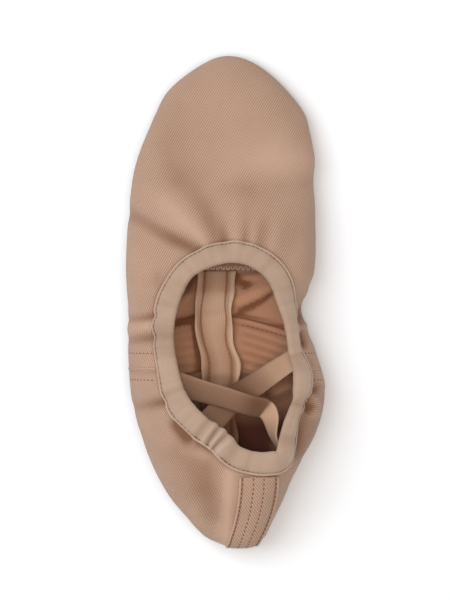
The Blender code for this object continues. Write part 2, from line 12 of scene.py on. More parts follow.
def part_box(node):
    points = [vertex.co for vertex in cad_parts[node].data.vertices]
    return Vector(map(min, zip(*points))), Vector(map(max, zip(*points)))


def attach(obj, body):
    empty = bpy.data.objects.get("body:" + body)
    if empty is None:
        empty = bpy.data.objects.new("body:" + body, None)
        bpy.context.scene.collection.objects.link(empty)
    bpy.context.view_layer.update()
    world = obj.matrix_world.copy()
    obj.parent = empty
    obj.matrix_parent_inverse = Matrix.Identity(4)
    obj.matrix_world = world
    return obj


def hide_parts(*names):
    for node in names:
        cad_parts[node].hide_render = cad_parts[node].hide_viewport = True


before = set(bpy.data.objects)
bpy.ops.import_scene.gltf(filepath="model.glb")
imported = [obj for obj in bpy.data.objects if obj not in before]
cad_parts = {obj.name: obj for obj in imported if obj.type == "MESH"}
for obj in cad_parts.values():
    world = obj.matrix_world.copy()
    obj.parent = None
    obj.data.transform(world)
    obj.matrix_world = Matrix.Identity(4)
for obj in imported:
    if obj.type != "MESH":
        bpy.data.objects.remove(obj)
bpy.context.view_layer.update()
UPPER_LOW, UPPER_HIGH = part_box("upper")

bl_info = {
    "name": "Split-sole ballet slipper",
    "version": (1, 0, 0),
    "blender": (4, 5, 0),
    "location": "View3D > Sidebar > Slipper",
    "description": "Dresses the slipper's solids in canvas, tape, suede, elastic and stitches",
    "category": "Object",
}

MM = 0.001
TINY = 1e-6
NO_LENGTH = 1e-12
UPWARD = np.array((0.0, 0.0, 1.0))


def table(kind, *rows):
    """A named row for each tuple of values."""
    return tuple(kind(*row) for row in rows)


# Keys of a curve: places, and the value at each
Key = namedtuple("Key", "at value")

# The last, a row for each section from heel to toe. Along is a share of the length, left, right and
# ridge are shares of the ball width, crown is a share of the top line and widest of the instep height.
Section = namedtuple("Section", "along left right ridge crown widest")
SECTIONS = table(
    Section,
    (0.000, -0.066, 0.194, 0.076, 0.57, 0.42), (0.048, -0.180, 0.252, 0.108, 0.74, 0.42),
    (0.091, -0.280, 0.308, 0.137, 0.87, 0.40), (0.135, -0.352, 0.356, 0.160, 0.96, 0.38),
    (0.183, -0.410, 0.424, 0.170, 1.00, 0.36), (0.226, -0.448, 0.482, 0.150, 1.00, 0.35),
    (0.270, -0.482, 0.520, 0.122, 1.00, 0.34), (0.313, -0.505, 0.531, 0.097, 1.00, 0.33),
    (0.400, -0.519, 0.474, 0.050, 1.00, 0.33), (0.491, -0.519, 0.414, 0.030, 1.00, 0.33),
    (0.557, -0.531, 0.477, 0.034, 1.00, 0.32), (0.665, -0.519, 0.484, 0.025, 0.90, 0.31),
    (0.757, -0.492, 0.478, 0.018, 0.78, 0.29), (0.848, -0.453, 0.497, 0.015, 0.67, 0.25),
    (0.882, -0.447, 0.506, 0.015, 0.65, 0.24), (0.935, -0.444, 0.474, 0.015, 0.62, 0.22),
    (1.000, -0.340, 0.430, 0.015, 0.58, 0.20),
)
TOP_FULLNESS = 2.2
TOE_ROUND_FROM = 0.739
HEEL_ROUND_TO = 0.026
TOE_ROUNDNESS = 2.0
TOE_FULLNESS = 2.5
HEEL_ROUNDNESS = 2.5
COLLAR_BACK = 0.19
COLLAR_THROAT = 0.58

# The underside: the share of the width that lies flat, and where heel, arch and toe begin along it
FLAT_SHARE = 0.78
HEEL_TURN_TO = 0.061
TOE_TURN_FROM = 0.913
TOE_SPRING_FROM = 0.830
ARCH_FROM = 0.255
ARCH_TO = 0.645
ARCH_RISE = 4.2 * MM
TOE_SPRING = 3.0 * MM
SOLE_THICKNESS = 1.5 * MM
GAP = 0.3 * MM

# The binding's inner edge round the collar, turning clockwise from the toe, as reach from its middle
COLLAR = table(
    Key,
    (-150, 0.0307), (-131, 0.0291), (-100, 0.0277), (-73, 0.0307), (-41, 0.0383), (-25, 0.0427),
    (1, 0.0452), (22, 0.0410), (44, 0.0315), (80, 0.0260), (107, 0.0297), (124, 0.0334), (138, 0.0368),
    (148, 0.0420), (154, 0.0474), (160, 0.0470), (168, 0.0450), (178, 0.0414), (190, 0.0342),
)
COLLAR_MIDDLE = np.array((0.0045, -0.0270))
BINDING_LIP = 2.2 * MM

# Sole patches and insole in plan. The end towards the arch is squarer and has a notch.
Patch = namedtuple("Patch", "x heel_end toe_end width heel_roundness toe_roundness arch_side notch")
FOREFOOT = Patch(-0.0025, 0.0330, 0.0950, 0.0645, 3.1, 2.15, -1, 0.0022)
HEEL = Patch(0.0010, -0.1020, -0.0555, 0.0500, 2.4, 3.2, 1, 0.0020)
INSOLE = Patch(-0.0010, 0.0140, 0.0905, 0.0580, 3.4, 2.0, -1, 0.0)
NOTCH_SHARE = 0.38
OPENING_MARGIN = 12.0 * MM
INSOLE_THICKNESS = 1.2 * MM
PATCH_POINTS = 240
CENTRE_SHARES = (0.72, 0.48, 0.24, 0.06)

# Rims of suede and sock: distance in from the cut edge and drop of the lower face, in mm. The suede's has
# a sewn groove, and its first loops show the cut edge.
Rim = namedtuple("Rim", "inset drop")
SUEDE_RIM = table(
    Rim,
    (0.00, -0.75), (0.02, -0.35), (0.18, -0.10), (0.60, 0.00), (1.40, -0.02), (1.95, -0.12),
    (2.40, -0.22), (2.85, -0.12), (3.40, -0.02), (5.00, 0.00),
)
SUEDE_GROOVE = SUEDE_RIM[6]
SUEDE_EDGE_LOOPS = 4
SOCK_RIM = table(Rim, (0.0, -0.4), (0.1, -0.1), (0.5, 0.0), (4.0, 0.0))

# Seams: the lengthwise one, the cross seam that sweeps back at the sides, and the strip up the heel
SEAM_X = -0.0030
SEAM_HEEL_END = -0.0880
CROSS_SEAM_Y = -0.0210
CROSS_SEAM_SWEEP = 0.0110
CROSS_SEAM_HALF = 0.0450
CROSS_SEAM_CURVE = 1.5
STRIP_TOP = np.array((0.0155, -0.0814))
STRIP_HEEL_X = 0.0078
STRIP_FOOT_X = 0.0020
STRIP_THICKNESS = 0.8 * MM
STRIP_TAPER = 0.18
STRIP_LEAN = 35
STRIP_ROWS = (-0.417, -0.125, 0.125, 0.417)

# Relief across the back strip: place and width as shares of its half width, height in mm
Ridge = namedtuple("Ridge", "place width height")
PIPING = Ridge(0.93, 0.05, 0.45)
PIPING_GROOVE = Ridge(0.82, 0.05, -0.30)
MIDDLE_GROOVE = Ridge(0.25, 0.06, -0.18)
STRIP_EDGE_DROP = 0.5 * MM
STRIP_EDGE_POWER = 24
# Painted highlight on the piping and painted shade in its groove: the relief that gives full tone, and the
# bounds of the tone
FULL_RELIEF = 0.4 * MM
RELIEF_SHADES = (-0.8, 0.9)

# The turned edge of the canvas to the left of the back strip
FACING_WIDTH = 7.5 * MM
FACING_TUCK = 2.0 * MM
FACING_LEAD = 3.0 * MM

# Seam strips inside
TAPE_THICKNESS = 0.7 * MM
TAPE_GAP = 0.6 * MM
TAPE_STEP_RAMP = 4.5 * MM
TAPE_STEP_END = 6.1 * MM
CENTRE_TAPE_WIDTH = 19.0 * MM
CENTRE_TAPE_HEEL_END = -0.0800
CROSS_TAPE_WIDTH = 23.0 * MM
CROSS_TAPE_TOP = 21.0 * MM
CROSS_TAPE_FRONT = 14.3 * MM
CROSS_SEWN = 10.8 * MM

# The centre strip's cross-section: offset as a share of its width, lift in mm and tone, which paints shade
# in both grooves and at the curled edges and paints light on the flaps. Its edges curl up.
StripFold = namedtuple("StripFold", "offset lift shade")
CENTRE_FOLDS = table(
    StripFold,
    (-0.500, 2.00, 0.4), (-0.490, 2.60, -0.3), (-0.455, 2.50, -0.6), (-0.410, 1.60, -0.2),
    (-0.365, 0.50, 0.2), (-0.325, 0.00, 1.4), (-0.290, 0.25, 0.2), (-0.220, 0.60, 0),
    (-0.060, 0.80, -0.2), (0.100, 0.60, 0), (0.185, 0.25, 0.2), (0.220, 0.00, 1.4), (0.255, 0.60, 0.2),
    (0.300, 1.80, -0.1), (0.350, 2.60, -0.5), (0.395, 2.80, -0.3), (0.410, 2.20, 0.4),
)
LEFT_GROOVE = CENTRE_FOLDS[5].offset
RIGHT_GROOVE = CENTRE_FOLDS[11].offset
FLAP_SHARE = 0.20
STRIP_MIDDLE = -0.06
HOLLOW_SHARE = 0.6

# How the flaps sway and curl along the strip, in mm, and the left one's share of the sway
Sway = namedtuple("Sway", "height length phase")
SWAYS = table(Sway, (0.8, 6.5, 0), (0.4, 2.6, 1))
LEFT_SWAY = 0.6
CURL_SHARE = 0.5
CURL_LENGTH = 5.2 * MM
CURL_SKEW = 6

# Painted light and painted shade along the centre strip, shaded under the throat and deep in the heel:
# place in mm, and darker above zero or paler below it
STRIP_PLACES = table(
    Key,
    (-80, 2.0), (-55, 2.0), (-40, 0.65), (-25, 0.4), (-12, 0.15), (-2, -0.35), (2, -0.25), (5, 0.3),
    (14, 0.25),
)

# How far the centre strip strays from its seam, both in mm, and how far its right groove strays as well
STRIP_DRIFTS = table(
    Key,
    (-80, 0.6), (-50, 1.2), (-34, 1.8), (-28, 1.6), (-20, -0.7), (-12, -2.1), (-4, -2.0), (4, -0.8),
    (14, -0.1),
)
GROOVE_WANDER = 1.7 * MM
WANDER_Y = -9.5 * MM
WANDER_SPAN = 7.0 * MM

# Relief and painted shade of the cross strip: sewn line, front edge, ripples painted paler on their
# crests, and the painted shadow beside the centre strip. The left panel is painted paler, with a painted
# shadow behind its front edge.
LINE_WIDTH = 0.6 * MM
SEWN_DIP = 0.18 * MM
EDGE_DIP = 0.2 * MM
RIPPLE_HEIGHT = 0.3 * MM
RIPPLE_PITCH = 4.3 * MM
RIPPLE_DRIFT = 9.0 * MM
STRIP_SHADOW = 2.4 * MM
CrossShade = namedtuple("CrossShade", "ground sewn front_edge beside_strip ripple")
CROSS_SHADE = CrossShade(0.15, 0.3, 1.2, 1.9, -0.2)
LEFT_PANEL_X = -14.0 * MM
LEFT_PANEL_BLEND = 2.0 * MM
LEFT_PANEL_SHADE = -1.1
BEHIND_EDGE = 1.8 * MM
BEHIND_EDGE_WIDTH = 1.2 * MM
BEHIND_EDGE_SHADE = 3.0

# The two elastics, from left to right. Drop is the depth under the last's top, roll is in degrees.
Route = namedtuple("Route", "x y drop roll")
ELASTIC_OVER = table(
    Route,
    (-0.0300, -0.0375, 0.0036, 0), (-0.0225, -0.0393, 0.0056, 10), (-0.0130, -0.0420, 0.0130, 28),
    (0.0000, -0.0455, 0.0165, 36), (0.0120, -0.0494, 0.0170, 38), (0.0184, -0.0507, 0.0152, 40),
    (0.0210, -0.0545, 0.0122, 50), (0.0222, -0.0626, 0.0104, 74), (0.0248, -0.0685, 0.0104, 85),
)
ELASTIC_UNDER = table(
    Route,
    (-0.0140, -0.0635, 0.0036, 0), (-0.0098, -0.0595, 0.0066, 0), (-0.0048, -0.0548, 0.0175, 0),
    (0.0020, -0.0480, 0.0245, 0), (0.0122, -0.0410, 0.0240, -25), (0.0228, -0.0336, 0.0172, -36),
    (0.0300, -0.0287, 0.0092, -42), (0.0340, -0.0262, 0.0072, -42),
)
ELASTIC_THICKNESS = 1.1 * MM
ELASTIC_WAVE = 0.7 * MM
ELASTIC_WAVE_TURN = 2.6
ELASTIC_WAVE_SKEW = 2.2
ELASTIC_EDGE_THINNING = 0.6
ELASTIC_EDGE_POWER = 8

# Painted shade and painted light along each elastic, darker where it turns from the light or lies in the
# other's
# shade, paler where it faces the light: share of its length, and darker above zero or paler below it
OVER_SHADES = table(
    Key,
    (0, 0.52), (0.3, 0.45), (0.42, 0.6), (0.52, 1.0), (0.625, 1.0), (0.67, -0.7), (0.85, -0.5), (1, 0.3),
)
UNDER_SHADES = table(
    Key,
    (0, 0.4), (0.3, 0.6), (0.5, 1.0), (0.62, 0.6), (0.75, -0.3), (1, -0.8),
)

# Creases of each face: soft troughs, and ridges where the depth is below zero, in mm.
# Start is the share of the depth that a crease has at its first point.
Crease = namedtuple("Crease", "width depth start path")
CREASES = {
    "top": table(
        Crease,
        (3.0, 3.1, 0.45, ((-46, 41), (-31, 32), (-23, 28), (-13, 24))),
        (5.0, -2.0, 0.3, ((-33, 50), (-21, 40), (-9, 27))),
        (4.4, 1.8, 0.2, ((-19, 56), (-8, 42), (-3, 25))), (1.9, 1.6, 0.1, ((-1.5, 38), (0.4, 25))),
        (3.0, -1.1, 0.1, ((5.0, 46), (5.4, 25))), (1.9, 1.2, 0.1, ((10.5, 38), (9.8, 25))),
        (2.6, -0.6, 0.1, ((14.5, 42), (13, 25))), (3.0, 1.0, 0.1, ((21, 44), (17, 25))),
        (3.4, -0.6, 0.2, ((28, 45), (23, 26))), (3.4, 0.3, 0.2, ((38, 38), (30, 17))),
        (5.5, 1.0, 0.4, ((4, 53), (40, 55))), (7.0, -0.9, 0.6, ((6, 64), (42, 66))),
        (5.0, 0.7, 0.6, ((-30, 74), (-23, 56))), (9.0, 0.5, 1.0, ((-12, 88), (18, 78))),
        (1.6, 2.3, 0.3, ((-48, -9.5), (-38, -8.4), (-30, -6.8))),
        (2.4, -1.6, 0.3, ((-47, -13.8), (-31, -12.3))), (2.2, 2.3, 0.3, ((-48, -19), (-31, -17))),
        (3.0, -0.4, 0.6, ((-46, 3), (-33, 4))), (2.0, 2.5, 0.2, ((-43, -50.5), (-27, -47))),
        (3.0, -0.8, 0.4, ((-41, -58), (-24, -55.5))), (2.6, 3.2, 0.7, ((-23.5, -57.5), (-17.6, -63.5))),
        (2.6, -0.6, 1.0, ((-19, -70), (-10, -72))), (2.0, 2.0, 0.8, ((-12, -66), (-5, -68.5))),
        (2.0, 3.2, 0.5, ((40, 0), (35.4, -6.5), (35.0, -9.5))),
        (1.8, -0.9, 1.0, ((37.5, -11), (36.4, -13.6))), (2.0, 3.4, 1.0, ((35.6, -16), (36.6, -20.5))),
        (2.6, -1.4, 0.6, ((40, -22), (43.5, -32), (44.6, -40))),
        (2.0, 4.4, 1.0, ((37.0, -46), (39.4, -50))),
        (1.8, -1.3, 1.0, ((40.0, -43.6), (42.6, -48), (41.6, -54))),
        (1.6, 1.6, 1.0, ((42.6, -41), (41.0, -43))), (3.0, 2.0, 1.0, ((35.5, -54), (33.6, -72))),
        (2.6, -1.2, 1.0, ((3.0, -80), (1.0, -113))), (5.0, 1.0, 1.0, ((-8, -78), (-6, -100))),
        (4.0, -0.7, 0.6, ((-20, -78), (-12, -104))),
    ),
    "under": table(
        Crease,
        (1.4, 1.0, 0.4, ((-28, -49), (-12, -36), (0, -33), (11, -32.5), (20, -37))),
        (3.6, -0.9, 0.6, ((-22, -39), (-8, -29.5), (10, -28))),
        (2.2, 1.0, 0.8, ((0, -1), (13, -2.5), (29, -5))),
        (3.2, -1.4, 0.6, ((1, 3.5), (12, 6), (26, 7), (38, 3))),
        (2.2, 1.0, 0.5, ((5, 11), (18, 15), (36, 16.5))), (4.0, -0.9, 1.0, ((-16, -3), (-24, 4))),
        (2.8, 0.9, 0.6, ((-11, 4), (-22, 12), (-43, 10))),
        (2.2, 1.0, 1.0, ((36.4, 36), (35.6, 50), (33.5, 66))), (1.6, 0.9, 1.0, ((25, 88), (33, 71))),
    ),
    "inside": table(
        Crease,
        (3.4, 4.0, 0.6, ((6, -0.5), (14, 3.0), (22, 6.4), (30, 8))),
        (2.2, 3.0, 1.0, ((8, 10), (16, 11), (24, 12.5))), (2.6, 2.4, 1.0, ((-17, 2), (-25, -6))),
        (3.6, 5.0, 1.0, ((24, -43), (30, -40))),
    ),
}

# Painted shade and painted light on the canvas, with some soil, in mm: deeper in tone above zero, paler
# below it.
# The deeper ones paint the shade in creases, pits, seams and hollows inside, the paler ones light on
# ridges and lit faces.
Tone = namedtuple("Tone", "width value path")
TONES = {
    "top": table(
        Tone,
        (13, -0.35, ((-2, 92), (16, 72))), (8, 0.16, ((-26, 86), (-20, 68))),
        (8, 0.18, ((-16, 56), (-12, 34))), (6, 0.16, ((10, 52), (10, 36))),
        (12, -0.55, ((24, 66), (36, 58))), (9, -0.12, ((-41, 20), (-41, 2))),
        (11, -0.05, ((-36, -50), (-26, -72))), (10, 0.05, ((-16, -78), (-8, -104))),
        (8, 0.44, ((-20, -72), (-14, -88))), (5, -0.35, ((-28, 45), (-14, 31))),
        (3.0, 0.30, ((-31, 11), (-29.5, -3))), (2.6, 0.18, ((-41, -49.5), (-30, -47.5))),
        (1.8, 0.18, ((-45, -9), (-33, -7.4))), (2.2, 0.14, ((-45, -18.6), (-33, -17.2))),
        (2.2, -0.30, ((-45, -13.6), (-33, -12.4))), (1.1, 0.34, ((-48, -33.2), (-31, -33.2))),
        (4.5, -0.12, ((1.5, -84), (0.5, -96), (-2.5, -110))), (2.4, 0.65, ((-22.5, -58.8), (-19, -62.4))),
        (3.0, 0.22, ((-33, -58), (-26, -54.5))), (4.0, 0.18, ((-36, 6), (-33, -3))),
        (4.6, -0.35, ((35, 25), (31, 16), (36, 8))), (2.5, 0.30, ((34, -54), (32.5, -66))),
        (6, 0.36, ((39.5, -30), (42, -44), (36.5, -68))), (2.4, 0.55, ((35.2, -7), (35.2, -9))),
        (2.2, 0.85, ((35.0, -17), (35.8, -20))), (2.2, 0.80, ((37.2, -46.5), (39.2, -49.5))),
        (1.8, 0.35, ((42.4, -41), (41.0, -43))),
    ),
    "inside": table(
        Tone,
        (2.7, 3.10, ((5.4, 10.4), (9.6, 7))), (1.4, 1.50, ((9.5, 6.6), (14, 7.2), (18.5, 9.2))),
        (4.0, -0.90, ((7, 1.5), (14, 3.4), (21, 6.2))),
        (1.6, 2.50, ((8, -4.8), (11, -3.6), (14, -2), (18, 0.2), (22, 3.2))),
        (1.8, 1.70, ((-25, -10.4), (-13.5, -7.8))), (3.0, 2.20, ((-18, 4), (-13.5, 15))),
        (0.9, 1.00, ((5, -6.9), (16, -9.3), (28, -12.3))), (4.6, -1.60, ((25, -43), (31, -38))),
        (1.2, 1.80, ((20, -44.0), (27, -39.4), (33, -34.8))), (2.6, -0.50, ((24, -69), (27, -66))),
        (9.0, -0.90, ((-18, 8), (0, 14), (20, 9))), (6.0, -0.90, ((-23, 3), (-20, -6))),
        (3.4, -1.40, ((25, -47), (30, -43))),
    ),
}

# Pleats that draw the toe in to the forefoot patch: turn about its middle, length and depth in mm
Pleat = namedtuple("Pleat", "turn length depth")
PLEATS = table(
    Pleat,
    (-44, 11, 1.5), (-33, 16, 2.0), (-27, 18, 2.2), (-20.5, 19, 2.3), (-15, 17, 2.0), (-7.5, 12, 1.4),
    (4.6, 25, 2.6), (9.5, 15, 1.8), (15.5, 19, 2.3), (21.5, 19, 2.4), (28, 17, 2.3), (35, 15, 2.1),
    (42, 13, 1.8), (52, 11, 1.4),
)
PLEAT_WIDTH = 0.8
PUFF_WIDTH = 2.3
PUFF_SHARE = 0.4
PLEAT_TUCK = 3.0 * MM
PLEAT_AIM = 20
PLEAT_INSIDE_FROM = 80 * MM
PLEAT_INSIDE_SPAN = 12 * MM

# The binding's cross-section, the outer leaf from its outer edge to the lip and the inner leaf from the
# lip on: share of the width, lift in mm and tone, a painted highlight on the rolled edge and painted shade
# in the groove. The outer leaf has a sewn groove.
TapeFold = namedtuple("TapeFold", "share lift shade", defaults=(0.0,))
OUTER_LEAF = table(
    TapeFold,
    (0.000, 0.40, 0.3), (0.010, 0.95, -0.4), (0.045, 1.40, -0.9), (0.110, 1.38, -0.8),
    (0.142, 0.90, 0.25), (0.168, 0.58, 0.55), (0.195, 0.90, 0.25), (0.245, 1.32, 0.0), (0.340, 1.62),
    (0.500, 1.80), (0.700, 1.85), (0.880, 1.72), (1.000, 1.52),
)
LEAF_GROOVE = OUTER_LEAF[5]
INNER_LEAF = table(TapeFold, (0.0, 1.5), (0.2, 1.5), (0.45, 1.4), (0.7, 1.35), (0.9, 1.25), (0.98, 0.9))
BINDING_SLOT = 0.3 * MM
LIP_STEPS = 9
LIP_REACH = 3.3 * MM
NARROW_LIP = 1.3 * MM
NARROW_LIP_TURN = -30
NARROW_LIP_SPREAD = 15

# Lumps of the binding where the slack collar bunches: turn and spread in degrees, lift in mm
Lump = namedtuple("Lump", "turn spread lift")
LUMPS = table(
    Lump,
    (180, 3.0, -0.4), (185.0, 2.0, 1.4), (188.4, 0.9, -1.2), (191.2, 1.7, 1.7), (194.6, 1.0, -1.1),
    (198.0, 2.0, 1.1), (204, 2.4, -0.6), (160, 4.0, 0.5), (147, 3.0, -0.5), (127, 3.0, -0.6),
    (114, 5.0, 0.5), (104, 6.0, 0.4), (88, 4.0, -0.4), (-70, 4.0, -0.35), (-95, 4.0, 0.35),
    (-118, 3.0, -0.3), (-38, 3.0, 0.25),
)
LUMP_RISE = 4
LUMP_REACH = 0.3
# Painted light where the tape is lifted and painted shade where it dips, per mm of lift
LUMP_SHADING = 0.6

# Small waves round the binding: how many there are, height in mm and phase
TapeWave = namedtuple("TapeWave", "count height phase")
TAPE_WAVES = table(TapeWave, (31, 0.09, 0.4), (47, 0.08, 1.9), (73, 0.05, 0.2))

# Darker places of the binding: turn and spread in degrees
Soil = namedtuple("Soil", "turn spread value")
BINDING_DARKENINGS = table(Soil, (-79, 13, 0.30), (98, 9, 0.30))

# How much of the tape's width shows from above round the collar: less where the flank stands steep
BINDING_SHOWING = table(
    Key,
    (-150, 1.00), (-125, 0.98), (-95, 0.76), (-70, 0.80), (-50, 0.90), (-20, 0.84), (0, 0.80), (20, 0.82),
    (35, 0.85), (50, 0.70), (66, 0.50), (82, 0.44), (92, 0.58), (102, 0.76), (112, 0.76), (121, 0.58),
    (129, 0.44), (137, 0.42), (143, 0.60), (150, 0.90), (162, 0.86), (175, 0.86), (190, 0.95),
    (210, 1.00),
)

# Lean of the twill's ribs in each panel, in degrees from the slipper's width
Lean = namedtuple("Lean", "vamp left_quarter right_quarter left_under right_under")
TWILL_LEAN = Lean(58, 126, 10, 105, 42)

# How deep a fold is where its painted shade is deepest, above and underneath, and the painted shade beside
# the tape
FULL_FOLD = 3.0 * MM
FULL_FOLD_UNDER = 1.6 * MM
BESIDE_TAPE_SHADE = 0.5

# Tints of painted shade where the fold tone is above zero and of painted light where it is below, and the
# largest share of each in a colour
DEEP_TINT = (0.60, 0.43, 0.31)
DEEP_SHARE = 0.85
PAINTED_LIGHT_TINT = 1.14
PAINTED_LIGHT_SHARE = 0.7

# Painted shade of the heel pocket: inside the heel the canvas darkens between these two places along the
# slipper
HEEL_SHADE_FROM = -0.0490
HEEL_SHADE_TO = -0.0615

# Stitches, in the canvas and in the soles. A stitch lies like a grain of rice, its ends drawn into the
# cloth: share of its length, girth and dip.
Grain = namedtuple("Grain", "along girth dip")
GRAIN = table(
    Grain,
    (-1.0, 0.35, 1.0), (-0.65, 0.85, 0.35), (0.0, 1.0, 0.0), (0.65, 0.85, 0.35), (1.0, 0.35, 1.0),
)
GRAIN_SIDES = 6
STITCH_LENGTH = 1.5 * MM
STITCH_RADIUS = 0.26 * MM
SOLE_STITCH_LENGTH = 1.9 * MM
SOLE_STITCH_RADIUS = 0.32 * MM

# How far stitches stand out of the faces that they are sewn in, or sink into them
LEAF_STITCH_LIFT = 0.08 * MM
SOLE_STITCH_LIFT = 0.05 * MM
STRIP_STITCH_DIP = 0.1 * MM
CROSS_STITCH_DIP = 0.05 * MM

# Rows of stitches beside the seams, and where they begin and end: on the flanks as shares of the way from
# the widest line to the lip at these turns round the collar, and underneath as a share of the width
CROSS_ROWS = (-5.2 * MM, 7.2 * MM)
CENTRE_ROWS = (-5.7 * MM, 5.7 * MM)
FLANK_TURNS = (-100, 97)
FLANK_START = 0.995
FLANK_END = 0.35
UNDER_START = 0.97
ROW_TUCK = 1.0 * MM
STRIP_ROW_INSET = 2.0 * MM
BESIDE_ROW = 0.5 * MM
RAY_START = 0.2

# Raised lines over the seams
WELT_WIDTH = 1.5 * MM
WELT_HEIGHT = 0.45 * MM
WELT_ROOT = 0.3 * MM

# Overlocked edge of the sock: stitches that slant to and fro
OVERLOCK_LENGTH = 2.6 * MM
OVERLOCK_RADIUS = 0.28 * MM
OVERLOCK_PITCH = 1.2 * MM
OVERLOCK_FROM = -0.0210
OVERLOCK_TO = 0.0215
OVERLOCK_INSET = 1.1 * MM
OVERLOCK_LIFT = 0.1 * MM
OVERLOCK_SLANTS = (0.45, -0.27)

# How finely the canvas is divided, and how its lines gather at the ends and along the widest line
SIDE_STATIONS = 230
FLAT_STEPS = 22
TURN_STEPS = 22
SIDE_STEPS = 40
BAND_STEPS = 8
BAND_PARTS = 3
WIDEST_ROW = FLAT_STEPS + TURN_STEPS
BAND_ROW = WIDEST_ROW + SIDE_STEPS
BLEND_ROWS = 8
PLEAT_ROWS = 13
LIP_STIFFNESS = 0.75
SIDE_SPREAD = math.radians(75)
END_WEIGHT = 2.6
TOE_ZONE_Y = 0.055
HEEL_ZONE_Y = -0.092

# How finely curves are sampled before they are divided, and how finely the other pieces are divided
OUTLINE_SAMPLES = 6001
LENGTH_SAMPLES = 4001
HEEL_SAMPLES = 3001
HEEL_REACH = 30 * MM
ARC_SAMPLES = 25
OPENING_POINTS = 1440
PLEAT_EDGE_POINTS = 720
CENTRE_LINES = 120
CROSS_COLUMNS = 37
CLIMB_STEPS = 14
ROUND_STEPS = 16
ACROSS_STEPS = 41
BACK_COLUMNS = 49
BACK_TOP_STEPS = 44
BACK_FOOT_STEPS = 26
ELASTIC_LINES = 120
ELASTIC_COLUMNS = 13
WELT_COLUMNS = 7
FLANK_SAMPLES = 40
UNDER_SAMPLES = 160
CENTRE_SAMPLES = 120
STRIP_SAMPLES = 200
SOLE_ROW_POINTS = 480

# Light and camera, in metres. The key lamp stands front left, and the warm one lights the inside.
Lamp = namedtuple("Lamp", "name place size power tint")
LAMPS = (
    Lamp("key_softbox", (-0.55, 0.20, 1.10), 0.9, 9.0, (0.96, 0.985, 1.0)),
    Lamp("warm_fill_softbox", (0.12, -0.12, 1.30), 0.6, 5.2, (1.0, 0.88, 0.76)),
)
WORLD_TINT = (1.0, 0.95, 0.89, 1.0)
WORLD_STRENGTH = 0.525
FLOOR_PAPER = "#f3f8ff"
FLOOR_HALF = 1.5
CAMERA_HEIGHT = 1.5
CAMERA_LENS = 190.0
CAMERA_SENSOR = 36.0

# Woven cloths: colours of ribs and grooves, then rib, yarn and depth of relief in mm. No rib means the
# twill's own spacing. Heel shade is the colour of the painted shade deep inside the heel, where there is
# one.
WOVEN_COLUMNS = "light dark rib yarn depth contrast roughness soiled"
Woven = namedtuple("Woven", WOVEN_COLUMNS, defaults=(0.8, 0.9, None))
WOVEN = {
    # Cotton stretch canvas in a steep twill: matt, with fine slanting ribs. The ribs are drawn as coarse
    # as the picture shows them, about twice their real spacing.
    "cotton_canvas_twill": Woven("canvas", "canvas_groove", None, 0.9, 0.12, 1.35),
    # Turned edge of the canvas beside the back strip, pressed flat: no ribs, only a faint grain
    "cotton_canvas_facing": Woven("canvas", "canvas_groove", 0.6, 0.6, 0.01, 0.1),
    # The same canvas from inside: flatter, in darker and redder colours that paint the shade of the
    # interior, and with painted shade deep in the heel
    "cotton_canvas_inside": Woven("lining", "lining_groove", None, 0.9, 0.06, soiled="heel_inside"),
    # The broad strip over the cross seam: smooth cotton with faint fine threads along it, in the inside's
    # darker colours that paint the shade of the interior
    "fine_cotton_strip": Woven("lining", "lining_groove", 0.7, 0.9, 0.02, 0.3),
    # Sewn seam strips of plain cotton weave, ribbed along the strip
    "plain_cotton_tape": Woven("tape", "tape_shade", 1.0, 0.8, 0.04, 0.5),
    # Flat braided elastic: close ribs along its length and a slight gleam of rayon
    "braided_elastic": Woven("elastic", "elastic_groove", 1.1, 0.7, 0.03, 0.28, 0.75),
}
WOVEN_SHEEN = 0.1

# Napped cloths, suede and thread: grain and depth of relief in mm. Dark is a colour, or a share of light.
Napped = namedtuple("Napped", "light dark grain depth roughness sheen", defaults=(0.95, 0.25))
NAPPED = {
    # Soft cotton tape, folded: smooth to the eye, with a faint bloom and hardly any weave
    "brushed_cotton_tape": Napped("binding", "binding_shade", 0.5, 0.05, 0.9, 0.3),
    # Split suede, napped: dead matt with a short grain
    "split_suede": Napped("suede", "suede_shade", 0.45, 0.08),
    # The cut edge of the suede, darker and rough
    "cut_suede_edge": Napped("suede_edge", "thread_dark", 0.3, 0.05),
    # Thin sock lining: brushed cotton and matt, in the inside's darker colours that paint the shade of the
    # interior
    "cotton_sock": Napped("lining", "lining_groove", 0.8, 0.08),
    # Polyester thread, wound: a touch of gloss on small rounded stitches
    "sewing_thread": Napped("thread", 0.7, 0.3, 0.03, 0.6, 0.0),
    "sewing_thread_dark": Napped("thread_dark", 0.7, 0.3, 0.03, 0.6, 0.0),
    "sewing_thread_inside": Napped("thread_inside", 0.7, 0.3, 0.03, 0.6, 0.0),
    # Soft bulked thread of the overlocked edge, paler than the cloth
    "overlock_thread": Napped("overlock", 0.8, 0.3, 0.03),
}

# Patterns in the cloth: over what length yarns stray and colours mottle, and how far each of them goes
STRAY_SIZE = 2.381 * MM
STRAY_SWAY = 2.2
WEAVE_MOTTLE_SIZE = 18.182 * MM
NAP_MOTTLE_SIZE = 11.111 * MM
YARN_SHARE = 0.35
MOTTLE_SHARE = 0.6
MIDDLE_TONE = 0.35
NAP_LOW = 0.5
NAP_HIGH = 1.1
WEAVE_BUMP = 0.75
NAP_BUMP = 0.6


def linear_rgb(code):
    """Linear RGB of an sRGB hex value."""
    shares = [int(code[i : i + 2], 16) / 255 for i in (1, 3, 5)]
    return tuple(c / 12.92 if c <= 0.04045 else ((c + 0.055) / 1.055) ** 2.4 for c in shares)


def ease(value):
    """Smooth step from 0 to 1."""
    value = np.clip(value, 0.0, 1.0)
    return value * value * (3 - 2 * value)


def bell(distance, width):
    """Soft bump: 1 where the distance is zero, falling away over the width."""
    return np.exp(-((distance / width) ** 2))


